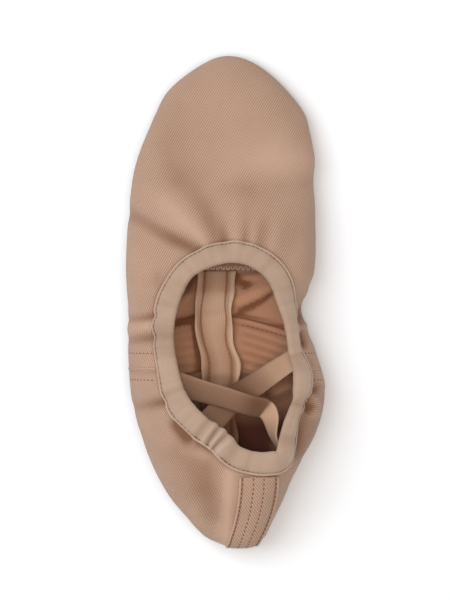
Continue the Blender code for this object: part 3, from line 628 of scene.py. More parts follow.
def curve(keys, values, at):
    """Smooth curve through the pairs of keys and values."""
    keys = np.asarray(keys, float)
    values = np.asarray(values, float)
    slopes = np.empty_like(values)
    slopes[1:-1] = (values[2:] - values[:-2]) / (keys[2:] - keys[:-2])
    slopes[0] = (values[1] - values[0]) / (keys[1] - keys[0])
    slopes[-1] = (values[-1] - values[-2]) / (keys[-1] - keys[-2])
    low = np.clip(np.searchsorted(keys, at, side="right") - 1, 0, len(keys) - 2)
    span = keys[low + 1] - keys[low]
    t = np.clip((at - keys[low]) / span, 0.0, 1.0)
    return (
        (2 * t**3 - 3 * t**2 + 1) * values[low]
        + (t**3 - 2 * t**2 + t) * span * slopes[low]
        + (3 * t**2 - 2 * t**3) * values[low + 1]
        + (t**3 - t**2) * span * slopes[low + 1]
    )


def keyed(keys, at):
    """Smooth curve through a table of keys."""
    return curve(*zip(*keys), at)


def rounding(share, power):
    """Quarter of a superellipse: 1 at share 0, falling to 0 at share 1."""
    return (1 - np.clip(share, 0.0, 1.0) ** power) ** (1 / power)


def unit(vectors):
    return vectors / np.maximum(np.linalg.norm(vectors, axis=-1, keepdims=True), NO_LENGTH)


def running_length(points, axis=0):
    """Length along lines of points, from zero at the first one."""
    steps = np.linalg.norm(np.diff(points, axis=axis), axis=-1)
    before = [(0, 0)] * steps.ndim
    before[axis] = (1, 0)
    return np.cumsum(np.pad(steps, before), axis=axis)


def join_height(plan, height):
    """Points over a plan."""
    return np.concatenate((plan, height[..., None]), axis=-1)


class Last:
    """The slipper's form: two heights over the plan that meet along its widest line."""

    def __init__(self, sizes):
        self.length = sizes.length
        self.ball = sizes.ball_width
        self.instep = sizes.instep_height
        self.heel = sizes.heel_height

    def station(self, y):
        return np.clip(np.asarray(y) / self.length + 0.5, 0.0, 1.0)

    def section(self, column, y):
        keys = [row.along for row in SECTIONS]
        return curve(keys, [getattr(row, column) for row in SECTIONS], self.station(y))

    def end_rounding(self, y, toe_power):
        along = self.station(y)
        toe = rounding((along - TOE_ROUND_FROM) / (1 - TOE_ROUND_FROM), toe_power)
        return toe * rounding((HEEL_ROUND_TO - along) / HEEL_ROUND_TO, HEEL_ROUNDNESS)

    def ridge(self, y):
        return self.section("ridge", y) * self.ball

    def edge(self, y, side):
        ridge = self.ridge(y)
        return ridge + (self.section(side, y) * self.ball - ridge) * self.end_rounding(y, TOE_ROUNDNESS)

    def widest(self, y):
        return self.section("widest", y) * self.instep

    def crown(self, y):
        rise = ease((self.station(y) - COLLAR_BACK) / (COLLAR_THROAT - COLLAR_BACK))
        top_line = self.heel + (self.instep - self.heel) * rise
        widest = self.widest(y)
        return widest + (self.section("crown", y) * top_line - widest) * self.end_rounding(y, TOE_FULLNESS)

    def top(self, x, y):
        """Height of the upper half, which carries on over the collar."""
        ridge = self.ridge(y)
        edge = np.where(x < ridge, self.edge(y, "left"), self.edge(y, "right"))
        widest = self.widest(y)
        share = np.abs(x - ridge) / np.maximum(np.abs(edge - ridge), TINY)
        return widest + (self.crown(y) - widest) * rounding(share, TOP_FULLNESS)

    def floor_line(self, y):
        along = self.station(y)
        arch = np.clip((along - ARCH_FROM) / (ARCH_TO - ARCH_FROM), 0.0, 1.0)
        spring = np.clip((along - TOE_SPRING_FROM) / (1 - TOE_SPRING_FROM), 0.0, 1.0)
        level = SOLE_THICKNESS + GAP + ARCH_RISE * np.sin(np.pi * arch) ** 2 + TOE_SPRING * spring**2
        heel = 1 - rounding((HEEL_TURN_TO - along) / HEEL_TURN_TO, 2)
        toe = 1 - rounding((along - TOE_TURN_FROM) / (1 - TOE_TURN_FROM), 2)
        return level + (self.widest(y) - level) * np.maximum(heel, toe)

    def under(self, x, y):
        """Height of the lower half."""
        left = self.edge(y, "left")
        right = self.edge(y, "right")
        share = np.abs(x - (left + right) / 2) / np.maximum((right - left) / 2, TINY)
        base = self.floor_line(y)
        turn = (share - FLAT_SHARE) / (1 - FLAT_SHARE)
        return base + (self.widest(y) - base) * (1 - rounding(turn, 2))

    def below_top(self, x, y, depth):
        """Height of a point this far inside the top, measured square to it."""
        step = 0.5 * MM
        slope_x = (self.top(x + step, y) - self.top(x - step, y)) / (2 * step)
        slope_y = (self.top(x, y + step) - self.top(x, y - step)) / (2 * step)
        return self.top(x, y) - depth * np.sqrt(1 + slope_x**2 + slope_y**2)

    def on_top(self, plan):
        return join_height(plan, self.top(plan[..., 0], plan[..., 1]))

    def on_under(self, plan):
        return join_height(plan, self.under(plan[..., 0], plan[..., 1]))

    def stations(self):
        """Stations from toe tip to heel tip, closer together round both ends."""
        dense = self.length / 2 * np.cos(np.linspace(0, np.pi, OUTLINE_SAMPLES))
        halves = (self.edge(dense, "right") - self.edge(dense, "left")) / 2
        at_ends = (dense[1:] > TOE_ZONE_Y) | (dense[1:] < HEEL_ZONE_Y)
        stretch = np.hypot(np.diff(dense), np.diff(halves)) * np.where(at_ends, END_WEIGHT, 1.0)
        lengths = np.concatenate(((0.0,), np.cumsum(stretch)))
        return np.interp(np.linspace(0, lengths[-1], SIDE_STATIONS + 1), lengths, dense)

    def outline(self):
        """The widest line, clockwise from the toe tip, with station numbers and sides."""
        rows = self.stations()
        numbers = np.arange(SIDE_STATIONS + 1)
        right = np.stack((self.edge(rows, "right"), rows), axis=-1)
        left = np.stack((self.edge(rows, "left"), rows), axis=-1)
        plan = np.concatenate((right, left[-2:0:-1]))
        numbers = np.concatenate((numbers, numbers[-2:0:-1]))
        on_right = np.arange(len(plan)) <= SIDE_STATIONS
        return plan, numbers, on_right

    def floor_edge(self, y, on_right):
        """Where the canvas begins to turn up towards this point of the widest line."""
        left = self.edge(y, "left")
        right = self.edge(y, "right")
        middle = (left + right) / 2
        along = HEEL_TURN_TO + (TOE_TURN_FROM - HEEL_TURN_TO) * self.station(y)
        x = middle + (np.where(on_right, right, left) - middle) * FLAT_SHARE
        return np.stack((x, (along - 0.5) * self.length), axis=-1)


def collar_turn(plan):
    """Degrees clockwise from the toe, about the collar's middle."""
    away = plan - COLLAR_MIDDLE
    turn = np.degrees(np.arctan2(away[..., 0], away[..., 1]))
    return np.where(turn < COLLAR[0].at, turn + 360, turn)


def collar_edge(turn):
    """The canvas edge, just outside the binding's inner edge."""
    keys = [row.at for row in COLLAR]
    reaches = [row.value for row in COLLAR]
    keys = [keys[-1] - 360] + keys + [keys[0] + 360, keys[1] + 360]
    reaches = [reaches[-1]] + reaches + reaches[:2]
    reach = curve(keys, reaches, turn) + BINDING_LIP
    angle = np.radians(turn)
    return COLLAR_MIDDLE + reach[:, None] * np.stack((np.sin(angle), np.cos(angle)), axis=-1)


def collar_bands(last, outline, width):
    """Plan points from the canvas edge out to the binding's outer edge, for each point of the outline."""
    edge = collar_edge(collar_turn(outline))
    along = np.roll(edge, -1, axis=0) - np.roll(edge, 1, axis=0)
    outward = unit(np.stack((-along[:, 1], along[:, 0]), axis=-1))
    bands = [edge]
    step = width / BAND_STEPS / BAND_PARTS
    plan = edge
    for _ in range(BAND_STEPS):
        for _ in range(BAND_PARTS):
            ahead = plan + outward * step
            fall = last.top(plan[:, 0], plan[:, 1]) - last.top(ahead[:, 0], ahead[:, 1])
            plan = plan + outward * (step / np.hypot(1, fall / step))[:, None]
        bands.append(plan)
    return bands


def patch_edge(patch, count, inset=0.0):
    """Plan outline of a patch, clockwise from its toe end."""
    half_width = patch.width / 2 - inset
    half_length = (patch.toe_end - patch.heel_end) / 2 - inset
    angle = 2 * np.pi * np.arange(count) / count
    ahead = np.cos(angle)
    aside = np.sin(angle)
    power = 2 / np.where(ahead > 0, patch.toe_roundness, patch.heel_roundness)
    x = half_width * np.sign(aside) * np.abs(aside) ** power
    y = half_length * np.sign(ahead) * np.abs(ahead) ** power
    notch = patch.arch_side * patch.notch * bell(x, NOTCH_SHARE * half_width)
    y = y - np.where(ahead * patch.arch_side > 0, notch, 0.0)
    return np.stack((patch.x + x, (patch.heel_end + patch.toe_end) / 2 + y), axis=-1)


def patch_middle(patch):
    return np.array((patch.x, (patch.heel_end + patch.toe_end) / 2))


def canvas_ends(last):
    """Where the canvas ends underneath, at each outline point, and the station where its seam begins."""
    plan, numbers, on_right = last.outline()
    opening = patch_edge(FOREFOOT, OPENING_POINTS, OPENING_MARGIN)
    middle = patch_middle(FOREFOOT)
    rear = opening[len(opening) // 2, 1]
    rows = last.stations()
    feet = last.floor_edge(rows, False)
    closing = int(np.argmax(feet[:, 1] < rear))
    toward = unit(last.floor_edge(plan[:, 1], on_right) - middle)
    picks = np.argmax(toward @ unit(opening - middle).T, axis=1)
    share = (rows[closing] - plan[:, 1]) / (rows[closing] - rows[-1])
    seam = np.stack((np.full(len(plan), SEAM_X), rear + (SEAM_HEEL_END - rear) * share), axis=-1)
    ends = np.where((numbers < closing)[:, None], opening[picks], seam)
    return ends, closing


def canvas_grid(last, binding_width):
    """Smooth outer face of the upper: a line from underneath up to the collar for each outline point."""
    plan, _, on_right = last.outline()
    ends, closing = canvas_ends(last)
    feet = last.floor_edge(plan[:, 1], on_right)
    bands = collar_bands(last, plan, binding_width)
    lines = []
    for j in range(FLAT_STEPS):
        lines.append(last.on_under(ends + (feet - ends) * j / FLAT_STEPS))
    for j in range(TURN_STEPS):
        lines.append(last.on_under(feet + (plan - feet) * math.sin(math.pi / 2 * j / TURN_STEPS)))
    for j in range(SIDE_STEPS):
        share = (1 - math.cos(SIDE_SPREAD * j / SIDE_STEPS)) / (1 - math.cos(SIDE_SPREAD))
        lines.append(last.on_top(plan + (bands[-1] - plan) * share))
    for band in reversed(bands):
        lines.append(last.on_top(band))
    return np.stack(lines, axis=1), closing


def ring_normals(grid):
    """Outward normals of a grid of lines set side by side in a ring."""
    aside = np.roll(grid, -1, axis=0) - np.roll(grid, 1, axis=0)
    up = np.gradient(grid, axis=1)
    return unit(np.cross(up, aside))


def sheet_normals(grid):
    return unit(np.cross(np.gradient(grid, axis=0), np.gradient(grid, axis=1)))


def path_distance(plan, path):
    """Distance in plan from each point to a path, and how far along the path its nearest place is."""
    nearest = np.full(plan.shape[:-1], np.inf)
    along = np.zeros(plan.shape[:-1])
    for number, (start, end) in enumerate(zip(path[:-1], path[1:])):
        way = end - start
        share = np.clip((plan - start) @ way / (way @ way), 0.0, 1.0)
        gap = np.linalg.norm(plan - start - share[..., None] * way, axis=-1)
        along = np.where(gap < nearest, (number + share) / (len(path) - 1), along)
        nearest = np.minimum(nearest, gap)
    return nearest, along


def pleat_path(pleat):
    """A pleat from under the forefoot patch's edge outwards."""
    middle = patch_middle(FOREFOOT)
    angle = math.radians(pleat.turn)
    way = np.array((math.sin(angle), math.cos(angle)))
    aside = np.array((way[1], -way[0]))
    away = patch_edge(FOREFOOT, PLEAT_EDGE_POINTS) - middle
    reach = np.max(away @ way - PLEAT_AIM * np.abs(away @ aside))
    start = middle + way * (reach - PLEAT_TUCK)
    return np.stack((start, middle + way * (reach + pleat.length * MM)))


def face_weights(grid):
    """Share of the canvas's topside, underside and pleated toe at each point of the grid."""
    rows = np.arange(grid.shape[1])[None, :]
    topside = ease((rows - WIDEST_ROW + BLEND_ROWS) / (2 * BLEND_ROWS))
    near_lip = 1 - LIP_STIFFNESS * ease((rows - BAND_ROW + 1) / BAND_STEPS)
    pleated = 1 - ease((rows - WIDEST_ROW + PLEAT_ROWS) / PLEAT_ROWS)
    return {"top": topside * near_lip, "under": 1 - topside, "inside": 1 - topside, "pleated": pleated}


def crease_depths(grid):
    """How far the creases sink the canvas at each point: on its outer face, and on its inner face."""
    plan = grid[..., :2]
    weights = face_weights(grid)
    outer = np.zeros(grid.shape[:2])
    inside = np.zeros(grid.shape[:2])
    for face, creases in CREASES.items():
        for crease in creases:
            gap, along = path_distance(plan, np.array(crease.path) * MM)
            growth = crease.start + (1 - crease.start) * ease(along)
            sink = growth * crease.depth * MM * bell(gap, crease.width * MM) * weights[face]
            if face != "inside":
                outer += sink
            if face != "under":
                inside += sink
    for pleat in PLEATS:
        gap, along = path_distance(plan, pleat_path(pleat))
        trough = bell(gap, PLEAT_WIDTH * MM)
        puff = PUFF_SHARE * bell(gap, PUFF_WIDTH * MM)
        sink = (trough - puff) * pleat.depth * MM * weights["pleated"] * (1 - ease(2 * along - 1))
        outer += sink
        inside += sink * ease((plan[..., 1] - PLEAT_INSIDE_FROM) / PLEAT_INSIDE_SPAN)
    return outer, inside


def canvas_tones(grid, face):
    """Tone of the painted shade, painted light and soil at each point of a face."""
    weight = face_weights(grid)[face]
    total = np.zeros(grid.shape[:2])
    for tone in TONES[face]:
        gap, _ = path_distance(grid[..., :2], np.array(tone.path) * MM)
        total += tone.value * bell(gap, tone.width * MM) * weight
    return total


def ring_faces(count, size, closed=False):
    """Faces of a ring of lines side by side, as numbers of points. Closed lines join their ends too."""
    line, row = np.meshgrid(np.arange(count), np.arange(size if closed else size - 1), indexing="ij")
    here = line * size
    there = (line + 1) % count * size
    after = (row + 1) % size
    corners = (here + row, here + after, there + after, there + row)
    return np.stack([corner.ravel() for corner in corners], axis=-1)


def sheet_faces(rows, columns):
    """Faces of a closed sheet between two grids of rows by columns."""
    numbers = np.arange(rows * columns).reshape(rows, columns)
    corner = numbers[:-1, :-1].ravel()
    quads = np.stack((corner, corner + columns, corner + columns + 1, corner + 1), axis=-1)
    here = np.concatenate((numbers[:, 0], numbers[-1, 1:], numbers[-2::-1, -1], numbers[0, -2:0:-1]))
    there = np.roll(here, -1)
    above = rows * columns
    sides = np.stack((here, there, above + there, above + here), axis=-1)
    return np.concatenate((quads[:, ::-1], quads + above, sides))


def signed_volume(points, faces):
    """Volume inside closed quads, below zero where they are wound inwards."""
    a, b, c, d = (points[faces[:, k]] for k in range(4))
    return np.sum(np.cross(a, b) * c + np.cross(a, c) * d) / 6


def add_piece(name, points, faces, materials, node=None, picks=None, weave=None, fold=None):
    """A mesh object that rides with the slipper.

    Weave gives each face corner's place in the cloth, and fold the tone at each point: painted shade above
    zero and painted light below it, with some soil."""
    points = np.asarray(points, float).reshape(-1, 3)
    faces = np.asarray(faces, int)
    turned = signed_volume(points, faces) < 0
    if turned:
        faces = faces[:, ::-1]
    mesh = bpy.data.meshes.new(name)
    mesh.from_pydata(points.tolist(), [], faces.tolist())
    for material in materials:
        mesh.materials.append(material)
    if picks is not None:
        mesh.polygons.foreach_set("material_index", np.asarray(picks, np.int32))
    if weave is not None:
        weave = np.asarray(weave, np.float32)
        if turned:
            weave = weave[:, ::-1]
        layer = mesh.uv_layers.new(name="weave")
        layer.uv.foreach_set("vector", np.ascontiguousarray(weave).ravel())
    if fold is not None:
        layer = mesh.attributes.new("fold", "FLOAT", "POINT")
        layer.data.foreach_set("value", np.ascontiguousarray(fold, np.float32).ravel())
    mesh.shade_smooth()
    mesh.update()
    piece = bpy.data.objects.new(name, mesh)
    bpy.context.scene.collection.objects.link(piece)
    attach(piece, "root")
    if node:
        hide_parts(node)
    return piece


def add_sheet(name, grid, normals, low, high, material, node=None, lean=0.0, fold=None):
    """A thin closed sheet round a grid. Its weave runs along its rows, or leans from them by degrees."""
    shape = grid.shape[:2]
    across = running_length(grid, axis=1)
    along = running_length(grid, axis=0)
    lower = grid + normals * np.broadcast_to(low, shape)[..., None]
    upper = grid + normals * np.broadcast_to(high, shape)[..., None]
    points = np.concatenate((lower.reshape(-1, 3), upper.reshape(-1, 3)))
    faces = sheet_faces(*shape)
    turn = math.radians(lean)
    ribs = across * math.cos(turn) - along * math.sin(turn)
    yarns = across * math.sin(turn) + along * math.cos(turn)
    places = np.tile(np.stack((ribs, yarns), axis=-1).reshape(-1, 2), (2, 1))
    if fold is not None:
        fold = np.tile(np.broadcast_to(fold, shape), (2, 1))
    return add_piece(name, points, faces, [material], node, weave=places[faces], fold=fold)


def add_node(tree, kind, inputs=None, **settings):
    """Adds a node with its settings, and fills its sockets with values or links."""
    node = tree.nodes.new(kind)
    for key, value in settings.items():
        setattr(node, key, value)
    for key, value in (inputs or {}).items():
        if isinstance(value, bpy.types.NodeSocket):
            tree.links.new(value, node.inputs[key])
        else:
            node.inputs[key].default_value = value
    return node


def wave(tree, place, period, phase):
    """Socket with a wave from -1 to 1 along a place in metres."""
    inputs = {0: place, 1: 2 * math.pi / period, 2: phase}
    turn = add_node(tree, "ShaderNodeMath", inputs, operation="MULTIPLY_ADD").outputs[0]
    return add_node(tree, "ShaderNodeMath", {0: turn}, operation="SINE").outputs[0]


def start_material(name, colour, roughness, sheen=0.0):
    """A named material with a plain colour."""
    material = bpy.data.materials.new(name)
    material.use_nodes = True
    material.diffuse_color = (*colour, 1.0)
    shader = material.node_tree.nodes["Principled BSDF"]
    shader.inputs["Base Color"].default_value = (*colour, 1.0)
    shader.inputs["Roughness"].default_value = roughness
    shader.inputs["Sheen Weight"].default_value = sheen
    shader.inputs["Sheen Roughness"].default_value = 0.6
    shader.inputs["IOR"].default_value = 1.46
    shader.inputs["Specular IOR Level"].default_value = 0.25
    return material


def finish_cloth(material, colour, light, dark, bump, depth, height):
    """Links a cloth's colour and relief. Its fold tone paints shade above zero, for creases, hollows and
    some soil, and paints light below zero, for raised and lit places.
    """
    tree = material.node_tree
    shader = tree.nodes["Principled BSDF"]
    fold = add_node(tree, "ShaderNodeAttribute", attribute_name="fold").outputs["Fac"]
    deep = [share * part for share, part in zip(dark, DEEP_TINT)]
    lit_tint = [min(1.0, share * PAINTED_LIGHT_TINT) for share in light]
    # Painted shade towards the deep tint, then painted light towards the pale tint
    for full, most, tint in ((1.0, DEEP_SHARE, deep), (-1.0, PAINTED_LIGHT_SHARE, lit_tint)):
        inputs = {0: fold, 1: 0.0, 2: full, 3: 0.0, 4: most}
        share = add_node(tree, "ShaderNodeMapRange", inputs).outputs[0]
        inputs = {0: share, 6: colour, 7: (*tint, 1.0)}
        colour = add_node(tree, "ShaderNodeMix", inputs, data_type="RGBA").outputs[2]
    tree.links.new(colour, shader.inputs["Base Color"])
    relief = add_node(tree, "ShaderNodeBump", {"Strength": bump, "Distance": depth * MM, "Height": height})
    tree.links.new(relief.outputs[0], shader.inputs["Normal"])
    return material


def woven_material(context, name, row):
    """Cloth with ribs across its weave's first place and yarns along its second one."""
    sizes, colours = slipper(context)
    light = tuple(getattr(colours, row.light))
    dark = tuple(getattr(colours, row.dark))
    material = start_material(name, light, row.roughness, WOVEN_SHEEN)
    tree = material.node_tree
    place = add_node(tree, "ShaderNodeUVMap", uv_map="weave").outputs[0]
    split = add_node(tree, "ShaderNodeSeparateXYZ", {0: place})
    ground = add_node(tree, "ShaderNodeTexCoord").outputs["Object"]
    inputs = {"Vector": ground, "Scale": 1 / STRAY_SIZE, "Detail": 2.0}
    stray = add_node(tree, "ShaderNodeTexNoise", inputs).outputs["Fac"]
    sway = add_node(tree, "ShaderNodeMath", {0: stray, 1: STRAY_SWAY}, operation="MULTIPLY").outputs[0]
    ribs = wave(tree, split.outputs["X"], row.rib * MM if row.rib else sizes.twill_spacing, sway)
    yarns = wave(tree, split.outputs["Y"], row.yarn * MM, sway)
    inputs = {0: yarns, 1: YARN_SHARE, 2: ribs}
    lines = add_node(tree, "ShaderNodeMath", inputs, operation="MULTIPLY_ADD").outputs[0]
    reach = 1 + YARN_SHARE
    half = row.contrast / 2
    inputs = {0: lines, 1: -reach, 2: reach, 3: MIDDLE_TONE - half, 4: MIDDLE_TONE + half}
    shade = add_node(tree, "ShaderNodeMapRange", inputs).outputs[0]
    inputs = {"Vector": ground, "Scale": 1 / WEAVE_MOTTLE_SIZE, "Detail": 4.0}
    mottle = add_node(tree, "ShaderNodeTexNoise", inputs).outputs["Fac"]
    inputs = {0: mottle, 1: MOTTLE_SHARE, 2: shade}
    tone = add_node(tree, "ShaderNodeMath", inputs, operation="MULTIPLY_ADD").outputs[0]
    inputs = {0: tone, 6: (*dark, 1.0), 7: (*light, 1.0)}
    colour = add_node(tree, "ShaderNodeMix", inputs, data_type="RGBA").outputs[2]
    # Painted shade of the heel pocket: darker towards the heel
    if row.soiled:
        along = add_node(tree, "ShaderNodeSeparateXYZ", {0: ground}).outputs["Y"]
        inputs = {0: along, 1: HEEL_SHADE_FROM, 2: HEEL_SHADE_TO, 3: 0.0, 4: 1.0}
        share = add_node(tree, "ShaderNodeMapRange", inputs, interpolation_type="SMOOTHSTEP").outputs[0]
        inputs = {0: share, 6: colour, 7: (*getattr(colours, row.soiled), 1.0)}
        colour = add_node(tree, "ShaderNodeMix", inputs, data_type="RGBA").outputs[2]
    return finish_cloth(material, colour, light, dark, WEAVE_BUMP, row.depth, lines)


def napped_material(context, name, row):
    """Suede, soft tape or thread: a fine nap over a slow mottle."""
    colours = context.scene.slipper_colours
    light = tuple(getattr(colours, row.light))
    if isinstance(row.dark, str):
        dark = tuple(getattr(colours, row.dark))
    else:
        dark = tuple(row.dark * share for share in light)
    material = start_material(name, light, row.roughness, row.sheen)
    tree = material.node_tree
    ground = add_node(tree, "ShaderNodeTexCoord").outputs["Object"]
    inputs = {"Vector": ground, "Scale": 1 / (row.grain * MM), "Detail": 5.0}
    nap = add_node(tree, "ShaderNodeTexNoise", inputs).outputs["Fac"]
    inputs = {"Vector": ground, "Scale": 1 / NAP_MOTTLE_SIZE, "Detail": 3.0}
    mottle = add_node(tree, "ShaderNodeTexNoise", inputs).outputs["Fac"]
    inputs = {0: nap, 1: MOTTLE_SHARE, 2: mottle}
    blend = add_node(tree, "ShaderNodeMath", inputs, operation="MULTIPLY_ADD").outputs[0]
    tone = add_node(tree, "ShaderNodeMapRange", {0: blend, 1: NAP_LOW, 2: NAP_HIGH}).outputs[0]
    inputs = {0: tone, 6: (*dark, 1.0), 7: (*light, 1.0)}
    colour = add_node(tree, "ShaderNodeMix", inputs, data_type="RGBA").outputs[2]
    return finish_cloth(material, colour, light, dark, NAP_BUMP, row.depth, nap)


def cloth(context, name):
    """The material of that name, made on first use."""
    made = bpy.data.materials.get(name)
    if made:
        return made
    if name in WOVEN:
        return woven_material(context, name, WOVEN[name])
    return napped_material(context, name, NAPPED[name])


def length_property(name, description, default):
    return bpy.props.FloatProperty(name=name, description=description, default=default, unit="LENGTH")


class SlipperSizes(bpy.types.PropertyGroup):
    """Sizes that drive the slipper's looks."""

    length: length_property("Length", "Heel to toe", UPPER_HIGH.y - UPPER_LOW.y)
    ball_width: length_property("Ball width", "Width that the sections are shares of", 0.0877)
    instep_height: length_property("Instep height", "Top line at the throat", 0.0370)
    heel_height: length_property("Heel height", "Top line at the back of the collar", 0.0425)
    canvas: length_property("Canvas", "Thickness of the canvas", 0.0012)
    twill_spacing: length_property("Twill spacing", "Distance between ribs of the twill", 0.0010)
    binding_width: length_property("Binding width", "Width of the folded tape on one face", 0.0088)
    elastic_width: length_property("Elastic width", "Width of the two elastics", 0.0122)
    strip_width: length_property("Back strip width", "Width of the strip over the heel seam", 0.0180)
    stitch_pitch: length_property("Stitch pitch", "From stitch to stitch in the canvas", 0.0023)
    sole_stitch_pitch: length_property("Sole stitch pitch", "From stitch to stitch in the soles", 0.0029)


def colour_property(name, description, code):
    colour = linear_rgb(code)
    return bpy.props.FloatVectorProperty(
        name=name, description=description, subtype="COLOR", size=3, min=0.0, max=1.0, default=colour
    )


class SlipperColours(bpy.types.PropertyGroup):
    """Colours of the slipper's materials."""

    canvas: colour_property("Canvas", "Ribs of the canvas twill", "#b89a87")
    canvas_groove: colour_property("Canvas grooves", "Between the ribs of the twill", "#93735f")
    # Inside and its grooves are darker and redder than the canvas: painted shade of the interior. Heel
    # inside is painted shade deep in the heel.
    lining: colour_property("Inside", "Canvas from inside", "#b18469")
    heel_inside: colour_property("Heel inside", "Canvas deep in the heel", "#552d22")
    lining_groove: colour_property("Inside grooves", "Between the ribs inside", "#8a5d44")
    binding: colour_property("Binding", "Tape round the collar", "#ad9584")
    binding_shade: colour_property("Binding shade", "Worn places of the tape", "#9e8674")
    tape: colour_property("Seam strips", "Strips over the seams inside", "#c8a891")
    tape_shade: colour_property("Seam strip shade", "Between the threads of the strips", "#a98168")
    elastic: colour_property("Elastic", "Ribs of the elastics", "#b8967e")
    elastic_groove: colour_property("Elastic grooves", "Between the ribs of the elastics", "#7b5c47")
    suede: colour_property("Suede", "Sole patches", "#c3ad91")
    suede_shade: colour_property("Suede shade", "Darker grain of the suede", "#b49e81")
    suede_edge: colour_property("Suede edge", "Cut edge of the sole patches", "#6a5034")
    # The canvas and sole threads are darker than the cloth, which also paints the shade of the stitch
    # holes.
    thread: colour_property("Thread", "Stitches in the canvas", "#755340")
    thread_inside: colour_property("Inner thread", "Stitches in the seam strips", "#8a6650")
    overlock: colour_property("Overlock", "Thread along the edge of the sock", "#dcc2ae")
    thread_dark: colour_property("Dark thread", "Stitches in the soles", "#6b5333")


def slipper(context):
    return context.scene.slipper_sizes, context.scene.slipper_colours


Canvas = namedtuple("Canvas", "last grid normals outer inner closing")


def dressed_canvas(sizes):
    """The canvas: smooth grid and normals, creased outer and inner points, and where its seam begins."""
    last = Last(sizes)
    grid, closing = canvas_grid(last, sizes.binding_width)
    normals = ring_normals(grid)
    outer, inside = crease_depths(grid)
    outer_points = grid - normals * outer[..., None]
    inner_points = grid - normals * (sizes.canvas + inside)[..., None]
    return Canvas(last, grid, normals, outer_points, inner_points, closing)


def canvas_places(last, grid):
    """Place of each point in the flat cloth: across from the ridge, and along it.

    Below the widest line the cloth is unrolled outwards, so that it carries on round the edge."""
    x = grid[..., 0]
    y = grid[..., 1]
    ridge = last.ridge(y)
    left = last.edge(y, "left")
    right = last.edge(y, "right")
    reach = np.where(x < ridge, ridge - left, right - ridge)
    rise = last.crown(y) - last.widest(y)
    share = np.clip(np.abs(x - ridge) / np.maximum(reach, TINY), 0.0, 1.0)
    angle = np.arcsin(share ** (TOP_FULLNESS / 2))[..., None] * np.linspace(0, 1, ARC_SAMPLES)
    out = reach[..., None] * np.sin(angle) ** (2 / TOP_FULLNESS)
    up = rise[..., None] * np.cos(angle) ** (2 / TOP_FULLNESS)
    across = np.sum(np.hypot(np.diff(out, axis=-1), np.diff(up, axis=-1)), axis=-1)
    dense = np.linspace(-last.length / 2, last.length / 2, LENGTH_SAMPLES)
    lengths = np.concatenate(((0.0,), np.cumsum(np.hypot(np.diff(dense), np.diff(last.crown(dense))))))
    places = np.stack((np.where(x < ridge, -across, across), np.interp(y, dense, lengths)), axis=-1)
    steps = np.diff(grid[:, : WIDEST_ROW + 1], axis=1)
    stretch = np.linalg.norm(steps, axis=-1) / np.maximum(np.linalg.norm(steps[..., :2], axis=-1), TINY)
    wrapped = np.cumsum((steps[..., :2] * stretch[..., None])[:, ::-1], axis=1)[:, ::-1]
    places[:, :WIDEST_ROW] = places[:, WIDEST_ROW : WIDEST_ROW + 1] + wrapped
    return places


def cross_seam_y(x):
    aside = np.clip(np.abs(x - SEAM_X) / CROSS_SEAM_HALF, 0, 1)
    return CROSS_SEAM_Y - CROSS_SEAM_SWEEP * aside**CROSS_SEAM_CURVE


def upper_faces(canvas):
    """Faces of the outer skin, the inner skin, the lip and the open edge underneath, in that order."""
    count, size = canvas.grid.shape[:2]
    skin = ring_faces(count, size)
    shell = count * size
    line = np.arange(count)
    here = line * size
    there = (line + 1) % count * size
    top = size - 1
    lip = np.stack((here + top, shell + here + top, shell + there + top, there + top), axis=-1)
    foot = np.stack((here, there, shell + there, shell + here), axis=-1)
    is_open = np.minimum(line, count - line - 1) < canvas.closing
    return np.concatenate((skin, skin[:, ::-1] + shell, lip, foot[is_open]))


def sewn_numbers(canvas):
    """Numbers of the points of both skins, where both sides of the lengthwise seam share theirs."""
    count, size = canvas.grid.shape[:2]
    numbers = np.arange(2 * count * size).reshape(2, count, size)
    sewn = np.arange(SIDE_STATIONS + 1, count)
    sewn = sewn[count - sewn >= canvas.closing]
    numbers[:, sewn, 0] = numbers[:, count - sewn, 0]
    return numbers.ravel()


def twill_weave(canvas, faces, x, y, on_top):
    """Place of each face corner in the cloth, turned as the ribs lean in each panel."""
    count = len(canvas.grid)
    on_right = np.repeat(np.arange(count) < SIDE_STATIONS, len(x) // count)
    lean = np.where(on_right, TWILL_LEAN.right_under, TWILL_LEAN.left_under)
    lean = np.where(on_top | (y > cross_seam_y(x)), TWILL_LEAN.vamp, lean)
    behind = on_top & (y < cross_seam_y(CROSS_SEAM_HALF))
    lean = np.where(behind & on_right, TWILL_LEAN.right_quarter, lean)
    lean = np.where(behind & ~on_right, TWILL_LEAN.left_quarter, lean)
    rest = np.full(len(faces) - 2 * len(lean), TWILL_LEAN.vamp)
    lean = np.radians(np.concatenate((lean, lean, rest)))[:, None]
    places = np.tile(canvas_places(canvas.last, canvas.grid).reshape(-1, 2), (2, 1))[faces]
    across = places[..., 0]
    along = places[..., 1]
    ribs = along * np.cos(lean) - across * np.sin(lean)
    yarns = across * np.cos(lean) + along * np.sin(lean)
    return np.stack((ribs, yarns), axis=-1)


def on_facing(last, strip_width, x, y):
    """Whether a place lies on the turned edge to the left of the back strip."""
    down = np.clip((STRIP_TOP[1] - y) / (STRIP_TOP[1] + last.length / 2), 0, 1)
    edge = STRIP_TOP[0] + (STRIP_HEEL_X - STRIP_TOP[0]) * down**2
    edge -= (1 - STRIP_TAPER * down**2) * strip_width / 2
    return (y < STRIP_TOP[1] + FACING_LEAD) & (x > edge - FACING_WIDTH) & (x < edge + FACING_TUCK)


